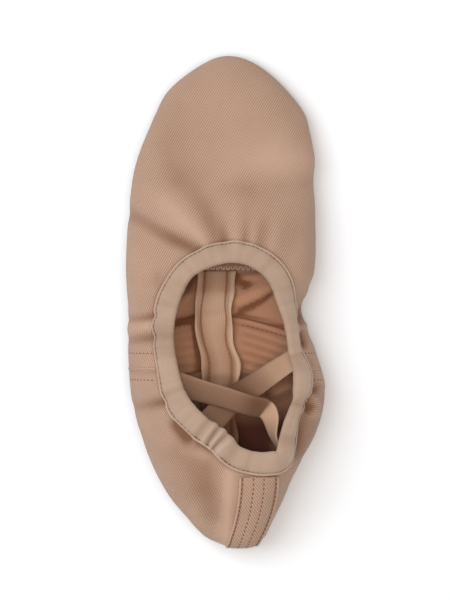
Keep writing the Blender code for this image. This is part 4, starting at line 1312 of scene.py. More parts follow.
def upper_folds(canvas, thickness):
    """Tone of outer and inner skin: painted shade where sunk, painted light where raised, and the painted
    shade, light and soil of the tones.
    """
    grid = canvas.grid
    rows = np.arange(grid.shape[1])[None, :]
    full = np.where(rows < WIDEST_ROW, FULL_FOLD_UNDER, FULL_FOLD)
    sunk = np.sum((grid - canvas.outer) * canvas.normals, axis=-1) / full
    tape_row = BAND_ROW + BAND_STEPS * leaf_shares(collar_turn(grid[:, -1, :2]), (0.0,))
    # Painted shade along the binding's outer edge
    beside_tape = BESIDE_TAPE_SHADE * bell(rows - tape_row, 1)
    # Painted light where the inner skin is raised
    raised = (np.sum((grid - canvas.inner) * canvas.normals, axis=-1) - thickness) / FULL_FOLD
    outer = sunk + beside_tape + canvas_tones(grid, "top")
    inner = canvas_tones(grid, "inside") - raised
    return np.clip(np.stack((outer, inner)), -1, 1).ravel()


class SLIPPER_OT_upper(bpy.types.Operator):
    """Builds the canvas upper with its creases and pleats"""

    bl_idname = "slipper.upper"
    bl_label = "Canvas upper"

    def execute(self, context):
        sizes = context.scene.slipper_sizes
        canvas = dressed_canvas(sizes)
        count, size = canvas.grid.shape[:2]
        skin = count * (size - 1)
        faces = upper_faces(canvas)
        x = canvas.grid[..., 0].ravel()[faces[:skin]].mean(axis=1)
        y = canvas.grid[..., 1].ravel()[faces[:skin]].mean(axis=1)
        on_top = np.tile(np.arange(size - 1), count) >= WIDEST_ROW
        weave = twill_weave(canvas, faces, x, y, on_top)
        facing = on_top & on_facing(canvas.last, sizes.strip_width, x, y)
        picks = np.concatenate((np.where(facing, 2, 0), np.ones(skin), np.zeros(len(faces) - 2 * skin)))
        names = ("cotton_canvas_twill", "cotton_canvas_inside", "cotton_canvas_facing")
        materials = [cloth(context, name) for name in names]
        points = np.concatenate((canvas.outer.reshape(-1, 3), canvas.inner.reshape(-1, 3)))
        fold = upper_folds(canvas, sizes.canvas)
        used, faces = np.unique(sewn_numbers(canvas)[faces], return_inverse=True)
        points = points[used]
        faces = faces.reshape(-1, 4)
        add_piece("canvas_upper", points, faces, materials, "upper", picks, weave, fold[used])
        return {"FINISHED"}


def band_curve(points, shares):
    """Points along each line of a band at shares of its rows, with a row of shares for each line."""
    end = points.shape[1] - 1
    at = np.asarray(shares) * end
    low = np.clip(np.floor(at).astype(int), 0, end - 1)
    part = (at - low)[..., None]
    line = np.arange(len(points))[:, None]
    return points[line, low] * (1 - part) + points[line, low + 1] * part


def leaf_shares(turn, shares):
    """Shares of the band for shares of the tape, which is set back from the band's outer edge."""
    showing = keyed(BINDING_SHOWING, turn)[:, None]
    return 1 - showing + showing * np.asarray(shares)[None, :]


def tape_lift(turn):
    """Lumps and small waves of the binding round the collar, in metres."""
    lift = np.zeros_like(turn)
    for lump in LUMPS:
        away = (turn - lump.turn + 180) % 360 - 180
        lift += lump.lift * bell(away, lump.spread)
    for row in TAPE_WAVES:
        lift += row.height * np.sin(np.radians(turn) * row.count + row.phase)
    return lift * MM


def binding_ring(canvas, thickness, turn, lift):
    """Closed cross-section of the tape at each line of the collar: outer leaf, lip, inner leaf, slot."""
    outer = canvas.outer[:, BAND_ROW:]
    inner = canvas.inner[:, BAND_ROW:]
    square = canvas.normals[:, BAND_ROW:]
    folds = np.array([row.share for row in OUTER_LEAF])
    heights = np.array([row.lift for row in OUTER_LEAF])[None, :, None] * MM
    rise = np.clip(folds * LUMP_RISE, 0, 1)[None, :, None]
    shares = leaf_shares(turn, folds)
    leaf = band_curve(outer, shares) + band_curve(square, shares) * (heights + lift[:, None, None] * rise)
    profile = list(np.moveaxis(leaf, 1, 0))
    edge = outer[:, -1]
    facing = square[:, -1]
    beyond = unit(edge - outer[:, -2])
    middle = edge - facing * thickness / 2
    reach = LIP_REACH - NARROW_LIP * bell(turn - NARROW_LIP_TURN, NARROW_LIP_SPREAD)
    reach = (reach + LUMP_REACH * lift)[:, None]
    half = (thickness / 2 + OUTER_LEAF[-1].lift * MM + lift)[:, None]
    for step in range(1, LIP_STEPS):
        angle = math.pi * step / LIP_STEPS
        profile.append(middle + beyond * reach * math.sin(angle) + facing * half * math.cos(angle))
    shares_inside = np.tile([row.share for row in INNER_LEAF], (len(turn), 1))
    inner_leaf = band_curve(inner[:, ::-1], shares_inside)
    inner_square = band_curve(square[:, ::-1], shares_inside)
    for number, row in enumerate(INNER_LEAF):
        profile.append(inner_leaf[:, number] - inner_square[:, number] * row.lift * MM)
    profile.append(inner[:, 0] - square[:, 0] * BINDING_SLOT)
    profile.append(inner[:, -1] - facing * BINDING_SLOT + beyond * BINDING_SLOT)
    profile.append(edge + facing * BINDING_SLOT + beyond * BINDING_SLOT)
    profile.append(band_curve(outer + square * BINDING_SLOT, shares[:, :1])[:, 0])
    return np.stack(profile, axis=1)


class SLIPPER_OT_binding(bpy.types.Operator):
    """Builds the folded tape round the collar"""

    bl_idname = "slipper.binding"
    bl_label = "Collar binding"

    def execute(self, context):
        sizes = context.scene.slipper_sizes
        canvas = dressed_canvas(sizes)
        turn = collar_turn(canvas.grid[:, -1, :2])
        lift = tape_lift(turn)
        ring = binding_ring(canvas, sizes.canvas, turn, lift)
        count, size = ring.shape[:2]
        faces = ring_faces(count, size, closed=True)
        fold = np.zeros((count, size))
        # Painted highlight along the rolled edge and painted shade in the sewn groove
        fold[:, : len(OUTER_LEAF)] = [row.shade for row in OUTER_LEAF]
        for darkening in BINDING_DARKENINGS:
            fold += darkening.value * bell(turn - darkening.turn, darkening.spread)[:, None]
        # Painted light on the lumps and waves, painted shade between them
        fold -= LUMP_SHADING * lift[:, None] / MM
        tape = cloth(context, "brushed_cotton_tape")
        add_piece("tape_binding", ring, faces, [tape], "collar_binding", fold=fold)
        return {"FINISHED"}


Pad = namedtuple("Pad", "rim base thickness edge_loops")


def add_pad(name, patch, pad, last, materials, node):
    """A closed pad with a patch's outline, which lies its base above the canvas's own underside.

    Its rim rows shape the lower face, and its edge loops have the second material."""
    middle = patch_middle(patch)
    plain = patch._replace(notch=0.0)
    inner = patch_edge(plain, PATCH_POINTS, pad.rim[-1].inset * MM)
    lower = [(middle + (inner - middle) * share, 0.0) for share in reversed(CENTRE_SHARES)]
    for row in reversed(pad.rim):
        lower.append((patch_edge(patch, PATCH_POINTS, row.inset * MM), -row.drop * MM))
    upper = []
    for form, share in ((patch, 1.0), (patch, 0.93), (plain, 0.5), (plain, 0.06)):
        upper.append((middle + (patch_edge(form, PATCH_POINTS) - middle) * share, pad.thickness))
    loops = []
    for plan, lift in lower + upper:
        loops.append(join_height(plan, last.under(plan[:, 0], plan[:, 1]) + pad.base + lift))
    numbers = np.arange(len(loops) * PATCH_POINTS).reshape(len(loops), PATCH_POINTS)
    after = np.roll(numbers, -1, axis=1)
    rings = np.stack((numbers[:-1], after[:-1], after[1:], numbers[1:]), axis=-1).reshape(-1, 4)
    caps = []
    for loop, turned in ((numbers[0], False), (numbers[-1], True)):
        for k in range(PATCH_POINTS // 2 - 1):
            quad = (loop[k], loop[PATCH_POINTS - 1 - k], loop[PATCH_POINTS - 2 - k], loop[k + 1])
            caps.append(quad[::-1] if turned else quad)
    faces = np.concatenate((rings, caps))
    loop_of = np.concatenate((np.repeat(np.arange(len(loops) - 1), PATCH_POINTS), np.full(len(caps), -1)))
    rim_loop = len(lower) - 1
    picks = (loop_of > rim_loop - pad.edge_loops) & (loop_of <= rim_loop)
    return add_piece(name, np.concatenate(loops), faces, materials, node, picks=picks)


class SLIPPER_OT_soles(bpy.types.Operator):
    """Builds the suede patches under forefoot and heel"""

    bl_idname = "slipper.soles"
    bl_label = "Suede sole patches"

    def execute(self, context):
        last = Last(context.scene.slipper_sizes)
        materials = [cloth(context, "split_suede"), cloth(context, "cut_suede_edge")]
        pad = Pad(SUEDE_RIM, -GAP - SOLE_THICKNESS, SOLE_THICKNESS, SUEDE_EDGE_LOOPS)
        add_pad("suede_forefoot", FOREFOOT, pad, last, materials, "sole_forefoot")
        add_pad("suede_heel", HEEL, pad, last, materials, "sole_heel")
        return {"FINISHED"}


class SLIPPER_OT_insole(bpy.types.Operator):
    """Builds the thin sock inside the forefoot"""

    bl_idname = "slipper.insole"
    bl_label = "Sock insole"

    def execute(self, context):
        sizes = context.scene.slipper_sizes
        pad = Pad(SOCK_RIM, sizes.canvas + GAP, INSOLE_THICKNESS, 0)
        sock = cloth(context, "cotton_sock")
        add_pad("sock_insole", INSOLE, pad, Last(sizes), [sock], "insole_forefoot")
        return {"FINISHED"}


def strip_drift(y):
    """How far the centre strip strays from its seam."""
    return keyed(STRIP_DRIFTS, y / MM) * MM


def groove_wander(y):
    """How far the strip's right-hand groove strays on top of that, most where the cross seam begins."""
    return GROOVE_WANDER * bell(y - WANDER_Y, WANDER_SPAN)


def centre_strip_grid(last, sizes):
    """Points along the lengthwise strip, and the lift of each point of its folds."""
    y = np.linspace(INSOLE.heel_end - GAP, CENTRE_TAPE_HEEL_END, CENTRE_LINES)[:, None]
    offsets = np.array([fold.offset for fold in CENTRE_FOLDS])[None, :]
    lifts = np.array([fold.lift for fold in CENTRE_FOLDS])[None, :] * MM
    left_flap = np.clip((LEFT_GROOVE - offsets) / FLAP_SHARE, 0, 1)
    right_flap = np.clip((offsets - RIGHT_GROOVE) / FLAP_SHARE, 0, 1)
    curl = 1 + CURL_SHARE * np.sin(y / CURL_LENGTH + offsets * CURL_SKEW)
    lifts = lifts * np.where((left_flap > 0) | (right_flap > 0), curl, 1.0)
    sway = sum(row.height * MM * np.sin(y / (row.length * MM) + row.phase) for row in SWAYS)
    sway = sway * (right_flap - LEFT_SWAY * left_flap)
    wander = groove_wander(y) * ease((offsets - STRIP_MIDDLE) / (RIGHT_GROOVE - STRIP_MIDDLE))
    x = SEAM_X + offsets * CENTRE_TAPE_WIDTH + strip_drift(y) + wander + sway
    y = np.broadcast_to(y, x.shape)
    clear = np.abs(y - cross_seam_y(x)) - CROSS_TAPE_WIDTH / 2
    step = (TAPE_THICKNESS + GAP) * ease((TAPE_STEP_END - clear) / TAPE_STEP_RAMP)
    z = last.under(x, y) + sizes.canvas + TAPE_GAP + step
    return np.stack((x, y, z), axis=-1), lifts


def cross_strip_line(last, offset):
    """Points on the last along the cross seam, from the left flank round underneath to the right one."""
    side_y = float(cross_seam_y(CROSS_SEAM_HALF)) + offset
    widest = float(last.widest(side_y))
    ridge = float(last.ridge(side_y))
    left = float(last.edge(side_y, "left"))
    right = float(last.edge(side_y, "right"))
    rise = (CROSS_TAPE_TOP - widest) * np.linspace(1, 0, CLIMB_STEPS, endpoint=False)
    reach = rounding(rise / (float(last.crown(side_y)) - widest), TOP_FULLNESS)
    flanks = []
    for edge in (left, right):
        x = ridge + (edge - ridge) * reach
        flanks.append(np.stack((x, np.full_like(x, side_y), widest + rise), axis=-1))
    rounds = np.linspace(np.pi / 2, 0, ROUND_STEPS, endpoint=False)
    turns = 1 + (FLAT_SHARE - 1) * (1 - np.sin(rounds))
    flats = FLAT_SHARE * np.linspace(1, -1, ACROSS_STEPS)
    shares = np.concatenate((-turns, -flats, turns[::-1]))
    y = cross_seam_y((left + right) / 2 + (right - left) / 2 * shares) + offset
    left = last.edge(y, "left")
    right = last.edge(y, "right")
    plan = np.stack(((left + right) / 2 + (right - left) / 2 * shares, y), axis=-1)
    return np.concatenate((flanks[0], last.on_under(plan), flanks[1][::-1]))


class SLIPPER_OT_seam_strips(bpy.types.Operator):
    """Builds the two seam strips that cross inside the slipper"""

    bl_idname = "slipper.seam_strips"
    bl_label = "Inner seam strips"

    def execute(self, context):
        sizes = context.scene.slipper_sizes
        last = Last(sizes)
        grid, lifts = centre_strip_grid(last, sizes)
        # Painted shade in the grooves and along the strip, painted light on the flaps
        shade = np.array([fold.shade for fold in CENTRE_FOLDS]) + keyed(STRIP_PLACES, grid[..., 1] / MM)
        low = HOLLOW_SHARE * lifts
        high = TAPE_THICKNESS + lifts
        tape = cloth(context, "plain_cotton_tape")
        node = "seam_tape_centre"
        add_sheet("centre_seam_strip", grid, UPWARD, low, high, tape, node, fold=shade)

        offsets = np.linspace(-CROSS_TAPE_WIDTH / 2, CROSS_TAPE_FRONT, CROSS_COLUMNS)
        grid = np.stack([cross_strip_line(last, offset) for offset in offsets], axis=1)
        normals = sheet_normals(grid)
        normals = normals * np.sign(normals[len(grid) // 2, CROSS_COLUMNS // 2, 2])
        x = grid[..., 0]
        sewn = bell(offsets - CROSS_SEWN, LINE_WIDTH)
        front_edge = bell(offsets - CROSS_TAPE_FRONT, LINE_WIDTH)
        beside = ease((np.abs(x - SEAM_X) - CENTRE_TAPE_WIDTH / 2) / RIPPLE_PITCH)
        ripple = beside * np.sin(2 * np.pi * offsets / RIPPLE_PITCH + x / RIPPLE_DRIFT)
        plump = RIPPLE_HEIGHT * ripple - EDGE_DIP * front_edge - SEWN_DIP * sewn
        left_edge = SEAM_X - CENTRE_TAPE_WIDTH / 2 + strip_drift(grid[..., 1])
        beside_strip = np.exp(-np.abs(left_edge - x) / STRIP_SHADOW)
        # Painted shade along the sewn line, the front edge, beside the centre strip and in the ripples'
        # troughs, with painted light on their crests
        shade = CROSS_SHADE.ground + CROSS_SHADE.sewn * sewn + CROSS_SHADE.front_edge * front_edge
        shade = shade + CROSS_SHADE.beside_strip * beside_strip + CROSS_SHADE.ripple * ripple
        # The left panel is painted paler, with a painted shadow behind its front edge
        behind_edge = bell(offsets - CROSS_TAPE_FRONT + BEHIND_EDGE, BEHIND_EDGE_WIDTH)
        on_left = ease((LEFT_PANEL_X - x) / LEFT_PANEL_BLEND)
        shade = shade + on_left * (BEHIND_EDGE_SHADE * behind_edge + LEFT_PANEL_SHADE)
        low = sizes.canvas + TAPE_GAP
        high = low + TAPE_THICKNESS + plump
        tape = cloth(context, "fine_cotton_strip")
        node = "seam_tape_cross"
        add_sheet("cross_seam_strip", grid, normals, low, high, tape, node, fold=shade)
        return {"FINISHED"}


def heel_edge_y(last, x):
    """Where the outline's heel end lies at this distance across."""
    y = np.linspace(-last.length / 2, -last.length / 2 + HEEL_REACH, HEEL_SAMPLES)
    left = last.edge(y, "left")
    right = last.edge(y, "right")
    return np.where(x < left[0], np.interp(-x, -left, y), np.interp(x, right, y))


def back_strip_grid(last, sizes):
    """Lines down the back strip, from the collar over the heel to the heel patch, and their normals."""
    half = (HEEL.toe_end - HEEL.heel_end) / 2
    down = np.sin(np.pi / 2 * np.linspace(0, 1, BACK_TOP_STEPS, endpoint=False))
    ahead = 1 - np.cos(np.pi / 2 * np.linspace(0, 1, BACK_FOOT_STEPS))
    lines = []
    for aside in np.linspace(-0.5, 0.5, BACK_COLUMNS) * sizes.strip_width:
        narrowed = aside * (1 - STRIP_TAPER)
        heel_y = float(heel_edge_y(last, np.array(STRIP_HEEL_X + narrowed)))
        x = STRIP_TOP[0] + (STRIP_HEEL_X - STRIP_TOP[0]) * down**2 + aside * (1 - STRIP_TAPER * down**2)
        top = last.on_top(np.stack((x, STRIP_TOP[1] + (heel_y - STRIP_TOP[1]) * down), axis=-1))
        foot_x = STRIP_FOOT_X + narrowed
        reach = half * rounding(abs(foot_x - HEEL.x) / (HEEL.width / 2), HEEL.heel_roundness)
        foot_y = HEEL.heel_end + half - reach - 2 * GAP
        x = STRIP_HEEL_X + (STRIP_FOOT_X - STRIP_HEEL_X) * ahead + narrowed
        foot = last.on_under(np.stack((x, heel_y + (foot_y - heel_y) * ahead), axis=-1))
        lines.append(np.concatenate((top, foot)))
    grid = np.stack(lines, axis=1)
    normals = sheet_normals(grid)
    return grid, normals * np.sign(normals[0, 0, 2])


class SLIPPER_OT_back_strip(bpy.types.Operator):
    """Builds the strip over the heel seam"""

    bl_idname = "slipper.back_strip"
    bl_label = "Back strip"

    def execute(self, context):
        sizes = context.scene.slipper_sizes
        grid, normals = back_strip_grid(Last(sizes), sizes)
        edge = np.abs(np.linspace(-1, 1, BACK_COLUMNS))
        forms = (PIPING, PIPING_GROOVE, MIDDLE_GROOVE)
        piping, groove, middle = (row.height * MM * bell(edge - row.place, row.width) for row in forms)
        relief = piping + groove + middle - STRIP_EDGE_DROP * edge**STRIP_EDGE_POWER
        low = TAPE_GAP
        high = TAPE_GAP + STRIP_THICKNESS + relief
        lean = STRIP_LEAN
        # Painted highlight on the piping and painted shade in its groove
        shade = np.clip(-(piping + groove) / FULL_RELIEF, *RELIEF_SHADES)
        twill = cloth(context, "cotton_canvas_twill")
        add_sheet("heel_back_strip", grid, normals, low, high, twill, "back_strip", lean, shade)
        return {"FINISHED"}


def elastic_grid(last, route, width, shares):
    """Points of an elastic along its route, for shares of its width."""
    marks = np.arange(len(route))
    at = np.linspace(0, len(route) - 1, ELASTIC_LINES)
    x, y, drop, roll = (curve(marks, column, at) for column in zip(*route))
    ahead = np.stack((np.gradient(x), np.gradient(y)), axis=-1)
    aside = unit(np.stack((-ahead[:, 1], ahead[:, 0]), axis=-1))
    roll = np.radians(roll)
    lines = []
    for share in shares:
        plan = np.stack((x, y), axis=-1) + aside * (share * width * np.cos(roll))[:, None]
        height = last.below_top(plan[:, 0], plan[:, 1], drop) + share * width * np.sin(roll)
        wave_turn = at * ELASTIC_WAVE_TURN + share * ELASTIC_WAVE_SKEW
        height = height + ELASTIC_WAVE * np.sin(wave_turn) * np.sin(np.pi * at / at[-1])
        lines.append(join_height(plan, height))
    return np.stack(lines, axis=1)


class SLIPPER_OT_elastics(bpy.types.Operator):
    """Builds the two elastics that cross inside the collar"""

    bl_idname = "slipper.elastics"
    bl_label = "Crossing elastics"

    def execute(self, context):
        sizes = context.scene.slipper_sizes
        last = Last(sizes)
        shares = np.linspace(-0.5, 0.5, ELASTIC_COLUMNS)
        thinning = ELASTIC_EDGE_THINNING * np.abs(2 * shares) ** ELASTIC_EDGE_POWER
        half = ELASTIC_THICKNESS / 2 * (1 - thinning)
        webbing = cloth(context, "braided_elastic")
        for name, route, node, shades in (
            ("elastic_strap_over", ELASTIC_OVER, "elastic_over", OVER_SHADES),
            ("elastic_strap_under", ELASTIC_UNDER, "elastic_under", UNDER_SHADES),
        ):
            grid = elastic_grid(last, route, sizes.elastic_width, shares)
            # Painted shade and painted light along the strap
            shade = keyed(shades, np.linspace(0, 1, ELASTIC_LINES))[:, None]
            add_sheet(name, grid, sheet_normals(grid), -half, half, webbing, node, fold=shade)
        return {"FINISHED"}


def spaced(path, normals, pitch):
    """Places a pitch apart along a path, with the way ahead and the normal at each."""
    lengths = running_length(path)
    marks = np.arange(pitch / 2, lengths[-1], pitch)

    def read(values, at):
        return np.stack([np.interp(at, lengths, values[:, k]) for k in range(3)], axis=-1)

    ahead = unit(read(path, marks + pitch / 4) - read(path, marks - pitch / 4))
    return read(path, marks), ahead, unit(read(normals, marks))


def stitch_grains(centres, ways, normals, length=STITCH_LENGTH, radius=STITCH_RADIUS):
    """Points and faces of a stitch at each place, lying along its way."""
    asides = unit(np.cross(normals, ways))
    points = []
    for grain in GRAIN:
        for k in range(GRAIN_SIDES):
            angle = 2 * math.pi * k / GRAIN_SIDES
            out = asides * math.cos(angle) * radius * grain.girth
            up = normals * (math.sin(angle) * grain.girth - grain.dip) * radius
            points.append(centres + ways * grain.along * length / 2 + out + up)
    points = np.stack(points, axis=1)
    faces = []
    for row in range(len(GRAIN) - 1):
        for k in range(GRAIN_SIDES):
            here = row * GRAIN_SIDES + k
            there = row * GRAIN_SIDES + (k + 1) % GRAIN_SIDES
            faces.append((here, there, there + GRAIN_SIDES, here + GRAIN_SIDES))
    end = (len(GRAIN) - 1) * GRAIN_SIDES
    faces += [(3, 2, 1, 0), (5, 4, 3, 0)]
    faces += [(end, end + 1, end + 2, end + 3), (end, end + 3, end + 4, end + 5)]
    shifts = np.arange(len(points))[:, None, None] * points.shape[1]
    return points.reshape(-1, 3), (np.array(faces)[None] + shifts).reshape(-1, 4)


def add_stitches(name, rows, material):
    """One mesh of all stitches in rows of points and faces."""
    points = []
    faces = []
    start = 0
    for row_points, row_faces in rows:
        points.append(row_points)
        faces.append(row_faces + start)
        start += len(row_points)
    return add_piece(name, np.concatenate(points), np.concatenate(faces), [material])


def lay_on(piece, plan, from_above):
    """Points and normals where a piece is met from straight above or below."""
    tree = BVHTree.FromObject(piece, bpy.context.evaluated_depsgraph_get())
    way = Vector((0.0, 0.0, -1.0 if from_above else 1.0))
    points = []
    normals = []
    for x, y in plan:
        place, normal, _, _ = tree.ray_cast(Vector((x, y, 0.0)) - way * RAY_START, way)
        if place is not None:
            points.append(place)
            normals.append(normal)
    return np.array(points), np.array(normals)


def cross_rows(canvas, last, offset):
    """A row beside the cross seam, laid on the canvas: left flank, right flank and underneath."""
    side_y = float(cross_seam_y(CROSS_SEAM_HALF)) + offset
    left = float(last.edge(side_y, "left"))
    right = float(last.edge(side_y, "right"))
    rows = []
    for edge, turn in zip((left, right), FLANK_TURNS):
        lip = collar_edge(np.array((turn,)))[0, 0]
        reach = np.linspace(FLANK_START * edge, lip + (edge - lip) * FLANK_END, FLANK_SAMPLES)
        rows.append(lay_on(canvas, np.stack((reach, np.full_like(reach, side_y)), axis=-1), True))
    x = np.linspace(UNDER_START * left, UNDER_START * right, UNDER_SAMPLES)
    rows.append(lay_on(canvas, np.stack((x, cross_seam_y(x) + offset), axis=-1), False))
    return rows


def centre_row(canvas, offset):
    """A row beside the lengthwise seam, laid on the canvas underneath, from patch to patch."""
    y = np.linspace(HEEL.toe_end - ROW_TUCK, FOREFOOT.heel_end + ROW_TUCK, CENTRE_SAMPLES)
    return lay_on(canvas, np.stack((np.full_like(y, SEAM_X + offset), y), axis=-1), False)


class SLIPPER_OT_seams(bpy.types.Operator):
    """Sews the canvas: stitch rows and raised seam lines, on and under the upper"""

    bl_idname = "slipper.seams"
    bl_label = "Canvas seams"

    def execute(self, context):
        sizes = context.scene.slipper_sizes
        last = Last(sizes)
        canvas = bpy.data.objects["canvas_upper"]
        rows = []
        for offset in CROSS_ROWS:
            rows += cross_rows(canvas, last, offset)
        rows += [centre_row(canvas, offset) for offset in CENTRE_ROWS]
        grains = [stitch_grains(*spaced(*row, sizes.stitch_pitch)) for row in rows]
        add_stitches("canvas_seam_stitches", grains, cloth(context, "sewing_thread"))
        twill = cloth(context, "cotton_canvas_twill")
        shares = np.linspace(-0.5, 0.5, WELT_COLUMNS)
        swell = WELT_HEIGHT * (1 - (2 * shares) ** 2)
        lines = cross_rows(canvas, last, 0.0) + [centre_row(canvas, 0.0)]
        for number, (path, normals) in enumerate(lines):
            aside = unit(np.cross(normals, unit(np.gradient(path, axis=0))))
            grid = path[:, None] + aside[:, None] * shares[None, :, None] * WELT_WIDTH
            square = np.broadcast_to(normals[:, None], grid.shape)
            add_sheet(f"seam_welt_{number}", grid, square, -WELT_ROOT, swell, twill)
        return {"FINISHED"}


def binding_stitches(sizes):
    """Stitches in the groove of the binding's outer leaf."""
    canvas = dressed_canvas(sizes)
    groove = leaf_shares(collar_turn(canvas.grid[:, -1, :2]), [LEAF_GROOVE.share])
    band = band_curve(canvas.outer[:, BAND_ROW:], groove)
    square = band_curve(canvas.normals[:, BAND_ROW:], groove)
    band = np.concatenate((band[:, 0], band[:1, 0]))
    square = np.concatenate((square[:, 0], square[:1, 0]))
    path = band + square * (LEAF_GROOVE.lift * MM + LEAF_STITCH_LIFT)
    return [stitch_grains(*spaced(path, square, sizes.stitch_pitch))]


def back_strip_stitches(last, sizes):
    """Four rows of stitches down the back strip."""
    grid, normals = back_strip_grid(last, sizes)
    grains = []
    for share in STRIP_ROWS:
        column = BACK_COLUMNS // 2 + round(share * (BACK_COLUMNS - 1))
        square = normals[:, column]
        path = grid[:, column] + square * (TAPE_GAP + STRIP_THICKNESS - STRIP_STITCH_DIP)
        grains.append(stitch_grains(*spaced(path, square, sizes.stitch_pitch)))
    return grains


def sole_stitches(last, pitch):
    """A row of stitches in the groove of each suede patch."""
    grains = []
    for patch in (FOREFOOT, HEEL):
        plan = patch_edge(patch, SOLE_ROW_POINTS, SUEDE_GROOVE.inset * MM)
        plan = np.concatenate((plan, plan[:1]))
        drop = GAP + SOLE_THICKNESS + SUEDE_GROOVE.drop * MM + SOLE_STITCH_LIFT
        path = join_height(plan, last.under(plan[:, 0], plan[:, 1]) - drop)
        places = spaced(path, np.broadcast_to(-UPWARD, path.shape), pitch)
        grains.append(stitch_grains(*places, SOLE_STITCH_LENGTH, SOLE_STITCH_RADIUS))
    return grains


def inner_strip_stitches(last, sizes):
    """Stitches in both grooves of the centre strip, and along the cross strip on both sides of it."""
    strip = bpy.data.objects["centre_seam_strip"]
    front = INSOLE.heel_end - STRIP_ROW_INSET
    y = np.linspace(front, CENTRE_TAPE_HEEL_END + STRIP_ROW_INSET, STRIP_SAMPLES)
    left = SEAM_X + LEFT_GROOVE * CENTRE_TAPE_WIDTH + strip_drift(y)
    right = SEAM_X + RIGHT_GROOVE * CENTRE_TAPE_WIDTH + strip_drift(y) + groove_wander(y)
    grains = []
    for x in (left, right):
        row = lay_on(strip, np.stack((x, y), axis=-1), True)
        grains.append(stitch_grains(*spaced(*row, sizes.stitch_pitch)))
    path = cross_strip_line(last, CROSS_SEWN)
    near = cross_strip_line(last, CROSS_SEWN + BESIDE_ROW)
    square = unit(np.cross(np.gradient(path, axis=0), near - path))
    square = square * np.sign(square[len(square) // 2, 2])
    path = path + square * (sizes.canvas + TAPE_GAP + TAPE_THICKNESS - CROSS_STITCH_DIP)
    places = spaced(path, square, sizes.stitch_pitch)
    clear = np.abs(places[0][:, 0] - SEAM_X) > CENTRE_TAPE_WIDTH / 2 + BESIDE_ROW
    grains.append(stitch_grains(*(place[clear] for place in places)))
    return grains


def overlock_stitches(last, thickness):
    """Slanting stitches over the rear edge of the sock."""
    x = INSOLE.x + np.arange(OVERLOCK_FROM, OVERLOCK_TO, OVERLOCK_PITCH)
    y = np.full_like(x, INSOLE.heel_end + OVERLOCK_INSET)
    z = last.under(x, y) + thickness + GAP + INSOLE_THICKNESS + OVERLOCK_LIFT
    centres = np.stack((x, y, z), axis=-1)
    slant = np.where(np.arange(len(x)) % 2 == 0, *OVERLOCK_SLANTS)
    ways = unit(np.stack((slant, np.ones_like(x), np.zeros_like(x)), axis=-1))
    square = np.broadcast_to(UPWARD, centres.shape)
    return [stitch_grains(centres, ways, square, OVERLOCK_LENGTH, OVERLOCK_RADIUS)]


class SLIPPER_OT_trim_stitches(bpy.types.Operator):
    """Sews binding, back strip, soles, inner strips and the sock's edge"""

    bl_idname = "slipper.trim_stitches"
    bl_label = "Trim stitches"

    def execute(self, context):
        sizes = context.scene.slipper_sizes
        last = Last(sizes)
        for name, grains, thread, slot in (
            ("binding_stitches", binding_stitches(sizes), "sewing_thread", "binding"),
            ("back_strip_stitches", back_strip_stitches(last, sizes), "sewing_thread", "canvas"),
            ("sole_stitches", sole_stitches(last, sizes.sole_stitch_pitch), "sewing_thread_dark", "suede"),
            ("inner_strip_stitches", inner_strip_stitches(last, sizes), "sewing_thread_inside", "tape"),
            ("sock_overlock_stitches", overlock_stitches(last, sizes.canvas), "overlock_thread", "sock"),
        ):
            add_stitches(name, grains, cloth(context, thread))
        return {"FINISHED"}


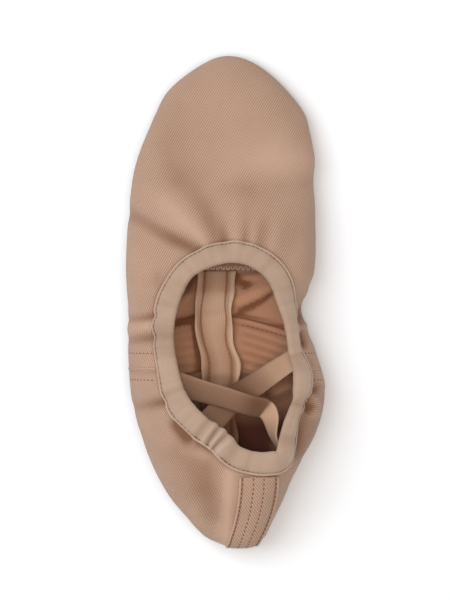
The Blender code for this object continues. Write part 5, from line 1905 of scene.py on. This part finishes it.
class SLIPPER_OT_stage(bpy.types.Operator):
    """Sets the floor, the light and the camera"""

    bl_idname = "slipper.stage"
    bl_label = "Floor, light and camera"

    def execute(self, context):
        scene = context.scene
        mesh = bpy.data.meshes.new("pale_floor")
        corners = [(-FLOOR_HALF, -FLOOR_HALF, 0), (FLOOR_HALF, -FLOOR_HALF, 0)]
        corners += [(FLOOR_HALF, FLOOR_HALF, 0), (-FLOOR_HALF, FLOOR_HALF, 0)]
        mesh.from_pydata(corners, [], [(0, 1, 2, 3)])
        floor = bpy.data.objects.new("pale_floor", mesh)
        scene.collection.objects.link(floor)
        # Painted paper sweep: plain, matt and pale
        mesh.materials.append(start_material("painted_paper", linear_rgb(FLOOR_PAPER), 0.95))
        world = bpy.data.worlds.new("studio")
        scene.world = world
        world.use_nodes = True
        background = world.node_tree.nodes["Background"]
        background.inputs["Color"].default_value = WORLD_TINT
        background.inputs["Strength"].default_value = WORLD_STRENGTH
        for row in LAMPS:
            data = bpy.data.lights.new(row.name, "AREA")
            data.size = row.size
            data.energy = row.power
            data.color = row.tint
            lamp = bpy.data.objects.new(row.name, data)
            lamp.location = row.place
            lamp.rotation_euler = (-Vector(row.place)).to_track_quat("-Z", "Y").to_euler()
            scene.collection.objects.link(lamp)
        camera = bpy.data.cameras.new("overhead_camera")
        camera.type = "PERSP"
        camera.sensor_fit = "VERTICAL"
        camera.sensor_height = CAMERA_SENSOR
        camera.lens = CAMERA_LENS
        camera.dof.use_dof = False
        viewer = bpy.data.objects.new("overhead_camera", camera)
        viewer.location = (0.0, 0.0, CAMERA_HEIGHT)
        scene.collection.objects.link(viewer)
        scene.camera = viewer
        scene.view_settings.view_transform = "Standard"
        return {"FINISHED"}


PIECES = (
    SLIPPER_OT_upper,
    SLIPPER_OT_binding,
    SLIPPER_OT_soles,
    SLIPPER_OT_insole,
    SLIPPER_OT_seam_strips,
    SLIPPER_OT_back_strip,
    SLIPPER_OT_elastics,
    SLIPPER_OT_seams,
    SLIPPER_OT_trim_stitches,
    SLIPPER_OT_stage,
)


class SLIPPER_PT_sidebar(bpy.types.Panel):
    """Lists the slipper's sizes, colours and pieces"""

    bl_idname = "SLIPPER_PT_sidebar"
    bl_label = "Ballet slipper"
    bl_space_type = "VIEW_3D"
    bl_region_type = "UI"
    bl_category = "Slipper"

    def draw(self, context):
        for group in slipper(context):
            box = self.layout.box()
            for name in group.__annotations__:
                box.prop(group, name)
        for piece in PIECES:
            self.layout.operator(piece.bl_idname)


CLASSES = (SlipperSizes, SlipperColours, *PIECES, SLIPPER_PT_sidebar)


def register():
    for cls in CLASSES:
        bpy.utils.register_class(cls)
    bpy.types.Scene.slipper_sizes = bpy.props.PointerProperty(type=SlipperSizes)
    bpy.types.Scene.slipper_colours = bpy.props.PointerProperty(type=SlipperColours)


def unregister():
    del bpy.types.Scene.slipper_colours
    del bpy.types.Scene.slipper_sizes
    for cls in reversed(CLASSES):
        bpy.utils.unregister_class(cls)


def main():
    register()
    bpy.ops.slipper.upper()
    bpy.ops.slipper.binding()
    bpy.ops.slipper.soles()
    bpy.ops.slipper.insole()
    bpy.ops.slipper.seam_strips()
    bpy.ops.slipper.back_strip()
    bpy.ops.slipper.elastics()
    bpy.ops.slipper.seams()
    bpy.ops.slipper.trim_stitches()
    bpy.ops.slipper.stage()


if __name__ == "__main__":
    main()
